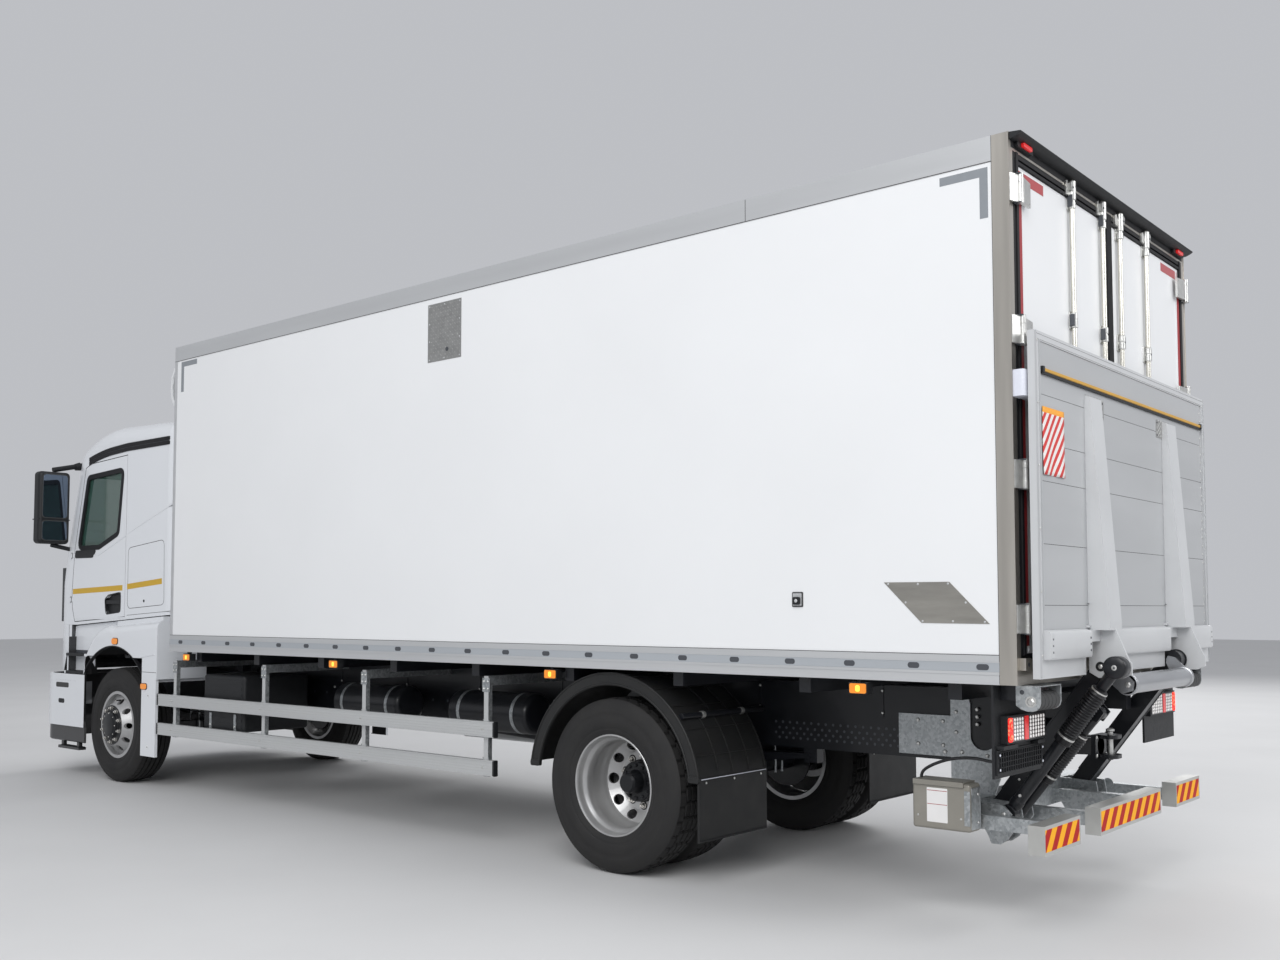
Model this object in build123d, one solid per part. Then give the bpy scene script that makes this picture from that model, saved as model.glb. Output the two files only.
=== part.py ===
from build123d import *
from math import cos, pi, radians, sin, tan
import os

# Refrigerated truck, in millimetres. X runs forward from the rear face of the box, Y to the left and Z up
# from the road. The finished pieces are moved along X so that X = 0 is the middle of the whole truck.

# Insulated box
BOX_LENGTH = 7424
BOX_WIDTH = 2600
BOX_BOTTOM = 1194
BOX_HEIGHT = 2573
WALL = 78
FLOOR = 130
ROOF = 88
TRIM = 3
LOWER_RAIL = 136
TOP_RAIL = 122
TOP_FLANGE = 90
CORNER_TRIM = 40
PORTAL_DEPTH = 83
PORTAL_POST = 48
PORTAL_HEAD = 77
PORTAL_SILL = 116
DOOR_THICKNESS = 78
DOOR_FACE = 6
SEAL = 56
CENTRE_SEAL = 70
SEAL_INSET = 8
HINGE_HEIGHT = 135
HINGE_ROWS = 4
LOCK_ROD_RADIUS = 13.5
LOCK_ROD_X = -14
LOCK_RODS = (130, 560)
FRIDGE_DEPTH = 465
FRIDGE_HALF_WIDTH = 1090
FRIDGE_BOTTOM = 3285
FRIDGE_HEIGHT = 437
FRIDGE_EDGE = 24
FRIDGE_RIM = 42
FRIDGE_PANEL = 10

# Chassis
RAIL_OUTER = 430
RAIL_BOTTOM = 720
RAIL_HEIGHT = 262
RAIL_FLANGE = 80
RAIL_WEB = 8
RAIL_REAR = 770
RAIL_FRONT_BACK = 480
MEMBER_WIDTH = 60
SUBFRAME_HEIGHT = 130
BEARERS = 9
BEARER_WIDTH = 70
SPRING_WIDTH = 90
LEAF = 26
SPRING_HALF = 850
GEARBOX_BACK = 2750
SHAFT_Z = 740

# Wheels and axles
FRONT_OVERHANG = 1401
REAR_AXLE = 2515
TYRE_RADIUS = 512
TYRE_WIDTH = 300
TREAD_HALF = 102
BEAD_HALF = 118
RIM_RADIUS = 286
RIM_FLANGE = 12
RIM_LIP = 8
RIM_SHELL = 14
DISC = 14
TWIN_SPACING = 350
FRONT_TRACK_Y = 1065
REAR_OUTER_Y = 1110
HUB_RADIUS = 118
SPINDLE_RADIUS = 45
HAND_HOLES = 10
HAND_HOLE_RADIUS = 26
HAND_HOLE_CIRCLE = 214
KINGPIN_Y = 880
KINGPIN_RADIUS = 20
KINGPIN_EYE = 46
STEER_SWEEP = 640
FORK_GAP = 5
AXLE_TUBE = 75
MUDGUARD_RADIUS = 640
MUDGUARD_SKIN = 15
MUDGUARD_LIP = 55

# Cab
CAB_GAP = 241
CAB_LENGTH = 2235
CAB_HALF_WIDTH = 1150
CAB_SKIN = 55
CAB_CORNER = 290
ROOF_EDGE = 150
REAR_EDGE = 110
ROOF_REAR = 3210
ROOF_Z = 3242
CAB_FLOOR_REAR = 1500
CAB_FLOOR = 1400
DOOR_REAR_BACK = 1410
DOOR_GAP = 7
GLASS = 8
GLASS_INSET = 12
SKIRT_BOTTOM = 962
TILT_BACK = 150
TILT_Z = 1100
TILT_PIN = 20
DOOR_HINGE_BACK = 366
DOOR_PIN = 6
BUMPER_AHEAD = 40
BUMPER_SKIN = 30
BUMPER_BOTTOM = 310
LIP_TOP = 455
LIP_STEP = 14
LIP_CHAMFER = 10
BUMPER_TOP = 940
BUMPER_LENGTH = 955
BUMPER_CORNER = 280
HANDLE_DEPTH = 28
FENDER_Y = 1248
FENDER_SKIN = 25
FENDER_INNER = 780
FENDER_CREST = 70
FENDER_BACK = 59
SWOOP_BACK = 795
WELL_Y = 1090
SEAM = 3
ARCH_RADIUS = 700

# Tail lift, with the platform folded up behind the doors
HINGE_X = -125
HINGE_Z = 1260
ARM_PIVOT_X = 430
ARM_PIVOT_Z = 510
TILT_OFFSET = 100
LIFT_PIVOT_DROP = 140
LIFT_EYE_ALONG = 720
LIFT_EYE_BELOW = 105
ARM_INNER = 475
ARM_OUTER = 575
ARM_HALF_HEIGHT = 45
ARM_EYE = 50
HEAD_PLATE = 14
HEAD_CLEARANCE = 2
CHEEK_INNER = 585
CHEEK_OUTER = 600
TILT_LANE = 660
LIFT_LANE = 525
TILT_EYE = 55
TUBE_X = -200
TUBE_Z = 1170
TUBE_RADIUS = 50
PIN_RADIUS = 20
PIN_CLEARANCE = 0.3
PLATFORM_FACE = -100
PLATFORM_THICKNESS = 36
PLATFORM_BOTTOM = 1225
PLATFORM_TOP = 2825
PLATFORM_INSET = 28
PLATFORM_RIM = 45
PLATFORM_NOTCH_TOP = 1385
UNDERRUN_REAR = -58
UNDERRUN_DEPTH = 78
UNDERRUN_BOTTOM = 410
UNDERRUN_HEIGHT = 137
CROSS_TUBE_X = 505
CROSS_TUBE_DEPTH = 120
CROSS_TUBE_END = 813
HANGER = 12
NOTCH_X = 565
NOTCH_Z = 862
NOTCH_RADIUS = 75
NOTCH_TOP = 1040
TOW_Z = 810
TOW_HALF = 62
TOW_REAR = 0
TOW_DEPTH = 100
TOW_PIN = 14

SEAT = 0.3
AXLE_Z = TYRE_RADIUS
BOX_HALF = BOX_WIDTH / 2
FRIDGE_TOP = FRIDGE_BOTTOM + FRIDGE_HEIGHT
CAB_REAR = BOX_LENGTH + CAB_GAP
CAB_FRONT = CAB_REAR + CAB_LENGTH
FRONT_AXLE = CAB_FRONT - FRONT_OVERHANG
RAIL_FRONT = CAB_FRONT - RAIL_FRONT_BACK
GEARBOX_REAR = CAB_FRONT - GEARBOX_BACK
DOOR_REAR = CAB_FRONT - DOOR_REAR_BACK
TILT_X = CAB_FRONT - TILT_BACK
DOOR_HINGE_X = CAB_FRONT - DOOR_HINGE_BACK
BUMPER_FRONT = CAB_FRONT + BUMPER_AHEAD
BUMPER_REAR = BUMPER_FRONT - BUMPER_LENGTH
SWOOP_FRONT = CAB_FRONT - SWOOP_BACK
PLATFORM_HALF_WIDTH = BOX_HALF - PLATFORM_INSET
BOX_TOP = BOX_BOTTOM + BOX_HEIGHT
RAIL_TOP = RAIL_BOTTOM + RAIL_HEIGHT
SUBFRAME_TOP = RAIL_TOP + SUBFRAME_HEIGHT
OPENING_HALF = BOX_HALF - PORTAL_POST
LEAF_OUTER = OPENING_HALF - SEAL
WHEEL_OFFSET = TWIN_SPACING / 2
GAITER_CLEARANCE = 2
PIN_BORE = PIN_RADIUS + PIN_CLEARANCE
nodes = {}


def block(x0, x1, y0, y1, z0, z1):
    """A box between three pairs of limits."""
    return Pos((x0 + x1) / 2, (y0 + y1) / 2, (z0 + z1) / 2) * Box(x1 - x0, y1 - y0, z1 - z0)


def side_profile(points, y0, y1):
    """A polygon in X and Z, thick from y0 to y1."""
    return Pos(0, y1, 0) * (Plane.XZ * extrude(make_face(Polyline(*points, close=True)), y1 - y0))


def end_profile(points, x0, x1):
    """A polygon in Y and Z, thick from x0 to x1."""
    return Pos(x0, 0, 0) * (Plane.YZ * extrude(make_face(Polyline(*points, close=True)), x1 - x0))


def bar_y(x, z, radius, y0, y1):
    """A round bar across the truck."""
    return Pos(x, (y0 + y1) / 2, z) * Rot(90, 0, 0) * Cylinder(radius, y1 - y0)


def rod(start, end, radius):
    """A round bar between two points."""
    a, b = Vector(*start), Vector(*end)
    return Plane(origin=(a + b) / 2, z_dir=b - a) * Cylinder(radius, (b - a).length)


def flip(shape):
    """The same piece on the right."""
    return mirror(shape, Plane.XZ)


def both(shape):
    return [shape, flip(shape)]


def fused(shapes):
    """Like pieces joined into the first."""
    total = shapes[0]
    for shape in shapes[1:]:
        total += shape
    return total


def add(name, *shapes):
    """Store one node; it may hold several solids that stay apart."""
    flat = []
    for shape in shapes:
        flat += shape if isinstance(shape, list) else [shape]
    nodes[name] = Compound([solid for shape in flat for solid in shape.solids()])


def turned(points):
    """A ring about the Y axis; points are radius and distance along Y."""
    return revolve(make_face(Polyline(*points, close=True)), Axis.Y)


def chassis_frame():
    """Two channel rails joined by cross members, the cab's rear rest and its front tilt brackets."""
    web_inner = RAIL_OUTER - RAIL_WEB
    flange_inner = RAIL_OUTER - RAIL_FLANGE
    channel = [
        (flange_inner, RAIL_BOTTOM), (RAIL_OUTER, RAIL_BOTTOM), (RAIL_OUTER, RAIL_TOP),
        (flange_inner, RAIL_TOP), (flange_inner, RAIL_TOP - RAIL_WEB), (web_inner, RAIL_TOP - RAIL_WEB),
        (web_inner, RAIL_BOTTOM + RAIL_WEB), (flange_inner, RAIL_BOTTOM + RAIL_WEB),
    ]
    rail = end_profile(channel, RAIL_REAR, RAIL_FRONT)
    rest_x, rest_width = CAB_REAR + 35, 80
    post = side_profile(
        [
            (rest_x, RAIL_TOP), (rest_x + rest_width, RAIL_TOP),
            (rest_x + rest_width, cab_floor(rest_x + rest_width) - SEAT), (rest_x, cab_floor(rest_x) - SEAT),
        ],
        flange_inner, RAIL_OUTER,
    )
    bracket = side_profile(
        [
            (TILT_X - 510, RAIL_TOP), (RAIL_FRONT, RAIL_TOP), (TILT_X - 50, TILT_Z - 50),
            (TILT_X + 40, TILT_Z - 40), (TILT_X + 40, TILT_Z + 40), (TILT_X - 50, TILT_Z + 50),
            (TILT_X - 270, TILT_Z), (TILT_X - 450, RAIL_TOP + 60),
        ],
        RAIL_OUTER - 50, RAIL_OUTER - 15,
    )
    bracket += bar_y(TILT_X, TILT_Z, TILT_PIN, RAIL_OUTER - 50, RAIL_OUTER + 35)
    side = rail + post + bracket
    frame = side + flip(side)
    near_axle, under_box = 815, (2724, 1324, 424)
    members = [RAIL_REAR + 60, REAR_AXLE - near_axle, REAR_AXLE + near_axle, RAIL_FRONT - 120]
    for x in members + [BOX_LENGTH - back for back in under_box]:
        frame += block(x, x + MEMBER_WIDTH, -web_inner, web_inner, RAIL_BOTTOM + 100, RAIL_TOP - 42)
    tail = side_profile(
        [
            (RAIL_REAR + 90, RAIL_BOTTOM + 20), (RAIL_REAR, RAIL_BOTTOM + 20),
            (NOTCH_X - NOTCH_RADIUS - 20, 800), (NOTCH_X - NOTCH_RADIUS - 35, RAIL_TOP),
            (RAIL_REAR + 90, RAIL_TOP),
        ],
        web_inner - 4, RAIL_OUTER,
    )
    return frame + tail + flip(tail) + tow_jaw(RAIL_REAR + 60 + MEMBER_WIDTH / 2)


def tow_jaw(member_x):
    """A towing jaw with its upright pin, on two struts that spread to the rearmost cross member."""
    front = TOW_REAR + TOW_DEPTH
    jaw = block(front, front + 24, -TOW_HALF - 18, TOW_HALF + 18, TOW_Z - TOW_HALF, TOW_Z + TOW_HALF)
    plate = fillet(block(TOW_REAR, front + 5, -TOW_HALF, TOW_HALF, -10, 10).edges().filter_by(Axis.Z), 40)
    for z in (TOW_Z - TOW_HALF + 10, TOW_Z + TOW_HALF - 10):
        jaw += Pos(0, 0, z) * plate
    jaw += Pos(TOW_REAR + TOW_DEPTH / 2, 0, TOW_Z) * Cylinder(TOW_PIN, 2 * TOW_HALF + 20)
    half_height, spread = 45, 300
    corners = [(front + 20, 20), (front + 20, TOW_HALF + 10), (member_x, spread), (member_x, spread - 60)]
    strut = Plane.XY * extrude(make_face(Polyline(*corners, close=True)), 2 * half_height)
    strut = Pos(0, 0, TOW_Z - half_height) * strut
    return jaw + strut + flip(strut)


def cab_floor(x):
    """Height of the cab's underside, which rises towards the rear."""
    return CAB_FLOOR + (CAB_FRONT - 500 - x) / (CAB_FRONT - 500 - CAB_REAR) * (CAB_FLOOR_REAR - CAB_FLOOR)


def subframe():
    """Two long beams on the rails and the cross bearers under the box floor."""
    beam_inner = RAIL_OUTER - RAIL_FLANGE + 5
    beam = block(PORTAL_DEPTH, BOX_LENGTH - 20, beam_inner, RAIL_OUTER, RAIL_TOP, SUBFRAME_TOP)
    frame = beam + flip(beam)
    for i in range(BEARERS):
        x = 300 + i * (BOX_LENGTH - 700) / (BEARERS - 1)
        frame += block(x, x + BEARER_WIDTH, -BOX_HALF + 60, BOX_HALF - 60, SUBFRAME_TOP, BOX_BOTTOM)
    return frame


def springs():
    """Leaf packs under the rails, from rows of axle, height of the seat and number of leaves."""
    packs = []
    y0, y1 = RAIL_OUTER - RAIL_FLANGE / 2 - SPRING_WIDTH / 2, RAIL_OUTER - RAIL_FLANGE / 2 + SPRING_WIDTH / 2
    eye = RAIL_BOTTOM - 30
    for x, seat, leaves in ((FRONT_AXLE, AXLE_Z - 10, 2), (REAR_AXLE, AXLE_Z + AXLE_TUBE, 3)):
        top = seat + LEAF * leaves
        pack = side_profile(
            [
                (x - SPRING_HALF, eye - LEAF), (x - 140, seat), (x + 140, seat), (x + SPRING_HALF, eye - LEAF),
                (x + SPRING_HALF, eye), (x + 140, top), (x - 140, top), (x - SPRING_HALF, eye),
            ],
            y0, y1,
        )
        for end in (x - SPRING_HALF, x + SPRING_HALF):
            pack += block(end - 45, end + 45, y0 + 10, y1 - 10, eye - 55, RAIL_BOTTOM)
        packs += both(pack)
    return packs


def front_axle():
    """A forged beam whose end eyes hold the kingpins."""
    centre_bottom, centre_top = AXLE_Z - 130, AXLE_Z - 10
    eye_half = 60
    beam = block(FRONT_AXLE - 50, FRONT_AXLE + 50, 0, 620, centre_bottom, centre_top)
    beam += end_profile(
        [
            (600, centre_bottom), (700, AXLE_Z - eye_half), (KINGPIN_Y, AXLE_Z - eye_half),
            (KINGPIN_Y, AXLE_Z + eye_half), (680, AXLE_Z + eye_half), (600, centre_top),
        ],
        FRONT_AXLE - 42, FRONT_AXLE + 42,
    )
    beam += Pos(FRONT_AXLE, KINGPIN_Y, AXLE_Z) * Cylinder(KINGPIN_EYE, 2 * eye_half)
    beam -= Pos(FRONT_AXLE, KINGPIN_Y, AXLE_Z) * Cylinder(KINGPIN_RADIUS + PIN_CLEARANCE, 3 * eye_half)
    return beam + flip(beam)


def knuckle():
    """The left fork with its kingpin, spindle, brake shield and steering arm."""
    eye_half, plate = 60, 45
    part = Pos(FRONT_AXLE, KINGPIN_Y, AXLE_Z) * Cylinder(KINGPIN_RADIUS, 2 * (eye_half + FORK_GAP + plate))
    web_y = KINGPIN_Y + KINGPIN_EYE + 7
    x0, x1 = FRONT_AXLE - KINGPIN_EYE, FRONT_AXLE + KINGPIN_EYE
    for side in (1, -1):
        z = AXLE_Z + side * (eye_half + FORK_GAP + plate / 2)
        part += Pos(FRONT_AXLE, KINGPIN_Y, z) * Cylinder(KINGPIN_EYE, plate)
        part += block(x0, x1, KINGPIN_Y, web_y + 30, z - plate / 2, z + plate / 2)
    reach = eye_half + FORK_GAP + plate
    part += block(x0, x1, web_y, web_y + 30, AXLE_Z - reach, AXLE_Z + reach)
    part += bar_y(FRONT_AXLE, AXLE_Z, 195, web_y + 30, web_y + 42)
    part += bar_y(FRONT_AXLE, AXLE_Z, SPINDLE_RADIUS, web_y + 30, FRONT_TRACK_Y + WHEEL_OFFSET - 30)
    low = AXLE_Z - eye_half - FORK_GAP - plate
    part += block(FRONT_AXLE - 200, FRONT_AXLE, KINGPIN_Y - 20, KINGPIN_Y + 20, low, low + 38)
    return part


def rear_axle():
    """Banjo housing and tubes, with the shaft that drives it."""
    end = REAR_OUTER_Y - WHEEL_OFFSET - DISC - 6
    axle = bar_y(REAR_AXLE, AXLE_Z, AXLE_TUBE, -end, end)
    axle += bar_y(REAR_AXLE, AXLE_Z, SPINDLE_RADIUS, -REAR_OUTER_Y, REAR_OUTER_Y)
    axle += Pos(REAR_AXLE, 0, AXLE_Z) * Sphere(200)
    for piece in both(bar_y(REAR_AXLE, AXLE_Z, 195, 590, 602)):
        axle += piece
    seat = block(REAR_AXLE - 90, REAR_AXLE + 90, 350, 430, AXLE_Z, AXLE_Z + AXLE_TUBE)
    axle += seat + flip(seat)
    nose, joint = REAR_AXLE + 330, GEARBOX_REAR - 60
    axle += rod((REAR_AXLE + 100, 0, AXLE_Z + 10), (nose, 0, AXLE_Z + 20), 95)
    axle += rod((nose - 20, 0, AXLE_Z + 20), (joint + 15, 0, SHAFT_Z), 52)
    axle += rod((joint, 0, SHAFT_Z), (GEARBOX_REAR - SEAT, 0, SHAFT_Z), 70)
    return axle


def tyre(x, y):
    edge, belt = TYRE_WIDTH / 2, TYRE_RADIUS - 12
    half = [(RIM_RADIUS, BEAD_HALF), (TYRE_RADIUS - 110, edge), (belt, edge - 22), (TYRE_RADIUS, TREAD_HALF)]
    section = half + [(r, -t) for r, t in reversed(half)]
    return Pos(x, y, AXLE_Z) * turned(section)


def rim(hub_end, disc_bulge):
    """A steel disc wheel about its own middle, its disc standing towards +Y."""
    seat = RIM_RADIUS - SEAT
    inner = RIM_RADIUS - RIM_SHELL
    bead = BEAD_HALF + SEAT
    flange = RIM_RADIUS + RIM_FLANGE
    half = [(seat, bead), (flange, bead + 4), (flange, bead + RIM_LIP), (inner, bead + RIM_LIP)]
    wheel = turned(half + [(r, -t) for r, t in reversed(half)])
    face = WHEEL_OFFSET
    wheel += turned(
        [
            (0, face - DISC), (0, face), (175, face), (HAND_HOLE_CIRCLE + 32, face - disc_bulge),
            (inner + 1, face - 95), (inner + 1, face - 110), (HAND_HOLE_CIRCLE + 24, face - disc_bulge - 16),
            (168, face - DISC),
        ]
    )
    wheel += bar_y(0, 0, HUB_RADIUS, face - 70, hub_end)
    for i in range(HAND_HOLES):
        angle = 2 * pi * i / HAND_HOLES
        x, z = HAND_HOLE_CIRCLE * cos(angle), HAND_HOLE_CIRCLE * sin(angle)
        wheel -= bar_y(x, z, HAND_HOLE_RADIUS, face - 130, face + 10)
    return wheel


def wheels():
    """Front wheels carry their discs outward; the rear pairs stand disc to disc on one hub."""
    bore = SPINDLE_RADIUS + PIN_CLEARANCE
    front = rim(WHEEL_OFFSET + 12, 75)
    front -= bar_y(0, 0, bore, 0, WHEEL_OFFSET - 30 + SEAT)
    front = Pos(FRONT_AXLE, FRONT_TRACK_Y, AXLE_Z) * front
    inner_y = REAR_OUTER_Y - TWIN_SPACING
    twin = Pos(0, inner_y, 0) * rim(WHEEL_OFFSET, 75) + Pos(0, REAR_OUTER_Y, 0) * flip(rim(WHEEL_OFFSET, 75))
    twin += bar_y(0, 0, HUB_RADIUS, inner_y + WHEEL_OFFSET, REAR_OUTER_Y + 35)
    twin -= bar_y(0, 0, bore, 0, REAR_OUTER_Y + SEAT)
    twin -= bar_y(0, 0, AXLE_TUBE + FORK_GAP, 0, REAR_OUTER_Y - WHEEL_OFFSET - DISC)
    twin = Pos(REAR_AXLE, 0, AXLE_Z) * twin
    pair = [tyre(REAR_AXLE, REAR_OUTER_Y), tyre(REAR_AXLE, inner_y)]
    add("knuckle_left", knuckle())
    add("knuckle_right", flip(knuckle()))
    add("front_tyre_left", tyre(FRONT_AXLE, FRONT_TRACK_Y))
    add("front_tyre_right", tyre(FRONT_AXLE, -FRONT_TRACK_Y))
    add("front_rim_left", front)
    add("front_rim_right", flip(front))
    add("rear_tyres_left", pair)
    add("rear_tyres_right", [flip(piece) for piece in pair])
    add("rear_rims_left", twin)
    add("rear_rims_right", flip(twin))


def box_body():
    """Floor, walls and roof panels, each as thick as the real one, with the rails and trims that edge them."""
    skin = BOX_HALF - TRIM
    inner = skin - WALL
    front_outer = BOX_LENGTH - TRIM
    front_inner = front_outer - WALL
    roof_top = BOX_TOP - TRIM
    roof_bottom = roof_top - ROOF
    add("box_floor", block(PORTAL_DEPTH, front_inner, -inner, inner, BOX_BOTTOM, BOX_BOTTOM + FLOOR))
    add("box_sides", both(block(PORTAL_DEPTH, front_outer, inner, skin, BOX_BOTTOM, roof_top)))
    add("box_front_wall", block(front_inner, front_outer, -inner, inner, BOX_BOTTOM, roof_bottom))
    add("box_roof", block(PORTAL_DEPTH, front_outer, -inner, inner, roof_bottom, roof_top))

    rail_top, band = BOX_BOTTOM + LOWER_RAIL, BOX_TOP - TOP_RAIL
    side = block(PORTAL_DEPTH, BOX_LENGTH, skin, BOX_HALF, BOX_BOTTOM, rail_top)
    side += end_profile(
        [
            (skin, band), (BOX_HALF, band), (BOX_HALF, BOX_TOP), (BOX_HALF - TOP_FLANGE, BOX_TOP),
            (BOX_HALF - TOP_FLANGE, roof_top), (skin, roof_top),
        ],
        PORTAL_DEPTH, BOX_LENGTH,
    )
    side += block(BOX_LENGTH - CORNER_TRIM, BOX_LENGTH, skin, BOX_HALF, rail_top, band)
    side += block(front_outer, BOX_LENGTH, BOX_HALF - TOP_FLANGE, BOX_HALF, BOX_BOTTOM, BOX_TOP)
    header = BOX_LENGTH - TOP_FLANGE
    across = block(header, BOX_LENGTH, -BOX_HALF + TOP_FLANGE, BOX_HALF - TOP_FLANGE, roof_top, BOX_TOP)
    add("box_trims", side + flip(side) + across)

    sill, head = BOX_BOTTOM + PORTAL_SILL, BOX_TOP - PORTAL_HEAD
    portal = block(0, PORTAL_DEPTH, -BOX_HALF, BOX_HALF, BOX_BOTTOM, BOX_TOP)
    portal -= block(-1, PORTAL_DEPTH + 1, -OPENING_HALF, OPENING_HALF, sill, head)
    add("rear_portal", portal)

    leaf = [DOOR_FACE, DOOR_FACE + DOOR_THICKNESS, CENTRE_SEAL / 2, LEAF_OUTER, sill + SEAL / 2, head - SEAL]
    add("rear_doors", both(block(*leaf)))
    seal = block(DOOR_FACE + SEAL_INSET, PORTAL_DEPTH - 10, -OPENING_HALF, OPENING_HALF, sill, head)
    hole = block(0, PORTAL_DEPTH, *leaf[2:])
    visor = side_profile(
        [(-60, BOX_TOP - 15), (-60, BOX_TOP - 7), (-SEAT, BOX_TOP), (-SEAT, BOX_TOP - 32), (-20, BOX_TOP - 32)],
        -BOX_HALF + 10, BOX_HALF - 10,
    )
    add("rear_seals", seal - hole - flip(hole), visor)


def door_hardware():
    """Hinges along the outer edges of both leaves, and two locking rods on each."""
    pieces = []
    first, last = BOX_BOTTOM + 303, BOX_TOP - 262
    for i in range(HINGE_ROWS):
        z = first + i * (last - first) / (HINGE_ROWS - 1)
        low, high = z - HINGE_HEIGHT / 2, z + HINGE_HEIGHT / 2
        hinge = block(DOOR_FACE - 24, DOOR_FACE, LEAF_OUTER - 90, LEAF_OUTER, low + 8, high - 8)
        hinge += block(-30, -SEAT, LEAF_OUTER - 10, BOX_HALF, low, high)
        hinge += Pos(-30, LEAF_OUTER + 40, z) * Cylinder(12, HINGE_HEIGHT)
        pieces += both(hinge)
    bottom, top = BOX_BOTTOM + PORTAL_SILL + 22, BOX_TOP - 40
    for y in LOCK_RODS:
        bar = Pos(LOCK_ROD_X, y, (bottom + top) / 2) * Cylinder(LOCK_ROD_RADIUS, top - bottom)
        for z in (bottom + 160, 2200, 3003, top - 110):
            bar += block(LOCK_ROD_X - 18, DOOR_FACE, y - 22, y + 22, z - 45, z + 45)
        bar += block(LOCK_ROD_X - 18, -SEAT, y - 30, y + 30, top - 30, top)
        pieces += both(bar)
    add("door_hardware", pieces)


def fridge_unit():
    """The cooling unit on the front wall, bowed forward and rounded below."""
    wall = BOX_LENGTH - TRIM
    nose = wall + FRIDGE_DEPTH
    with BuildLine() as line:
        bottom = Line((wall, FRIDGE_BOTTOM), (nose - 120, FRIDGE_BOTTOM))
        belly = ThreePointArc(bottom @ 1, (nose - 22, FRIDGE_BOTTOM + 95), (nose, FRIDGE_BOTTOM + 235))
        brow = ThreePointArc(belly @ 1, (nose - 30, FRIDGE_TOP - 80), (nose - 125, FRIDGE_TOP))
        top = Line(brow @ 1, (wall, FRIDGE_TOP))
        Line(top @ 1, bottom @ 0)
    face = make_face(line.line)
    body = Pos(0, FRIDGE_HALF_WIDTH, 0) * (Plane.XZ * extrude(face, 2 * FRIDGE_HALF_WIDTH))
    ends = [e for e in body.edges() if abs(e.center().Y) > FRIDGE_HALF_WIDTH - 1 and e.center().X > wall + 1]
    body = fillet(ends, FRIDGE_EDGE)
    panel = Plane.XZ * extrude(offset(face, -FRIDGE_RIM, kind=Kind.INTERSECTION), 2 * FRIDGE_PANEL)
    for y in (FRIDGE_HALF_WIDTH, -FRIDGE_HALF_WIDTH):
        body -= Pos(0, y + FRIDGE_PANEL, 0) * panel
    half = FRIDGE_HALF_WIDTH / 3 - FRIDGE_RIM
    low, high = FRIDGE_BOTTOM + 4.5 * FRIDGE_RIM, FRIDGE_TOP - 3 * FRIDGE_RIM
    for y in (-2 * FRIDGE_HALF_WIDTH / 3, 0, 2 * FRIDGE_HALF_WIDTH / 3):
        body -= block(nose - 60, nose + 1, y - half, y + half, low, high)
    add("fridge_unit", body)


def side_guards():
    """Two aluminium planks along each side on four posts hung from the subframe."""
    rear, front = REAR_AXLE + 995, CAB_REAR + 35
    y0, y1 = BOX_HALF - 80, BOX_HALF - 50
    guard = block(rear, front, y0, y1, 725, 823) + block(rear, front, y0, y1, 480, 578)
    for x in (rear + 108, rear + 1380, front - 1552, front - 234):
        guard += block(x - 20, x + 20, y0 - 34, y0, 470, SUBFRAME_TOP)
        guard += block(x - 20, x + 20, RAIL_OUTER, y0, SUBFRAME_TOP - 60, SUBFRAME_TOP)
    add("side_guards", both(guard))


def rear_mudguards():
    """Half-round guards with a lip outside, each held by two tubes and ending in a flap behind the tyres."""
    outer = MUDGUARD_RADIUS + MUDGUARD_SKIN
    y0, y1 = REAR_OUTER_Y - TWIN_SPACING - TYRE_WIDTH / 2 - 10, BOX_HALF - 45
    ends = AXLE_Z + 95
    guard = bar_y(REAR_AXLE, AXLE_Z, outer, y0, y1)
    guard -= bar_y(REAR_AXLE, AXLE_Z, MUDGUARD_RADIUS, y0 - 1, y1 - 18)
    guard -= bar_y(REAR_AXLE, AXLE_Z, MUDGUARD_RADIUS - MUDGUARD_LIP, y0 - 1, y1 + 1)
    guard &= block(REAR_AXLE - 700, REAR_AXLE + 700, y0 - 5, y1 + 5, ends, AXLE_Z + outer + 5)
    guard += block(REAR_AXLE - outer, REAR_AXLE - MUDGUARD_RADIUS, y0, y1 - 5, 255, ends)
    for angle in (40, 140):
        reach = outer + 10
        x, z = REAR_AXLE + reach * cos(radians(angle)), AXLE_Z + reach * sin(radians(angle))
        guard += bar_y(x, z, 18, RAIL_OUTER, y0 + 90)
    add("rear_mudguards", both(guard))


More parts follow.
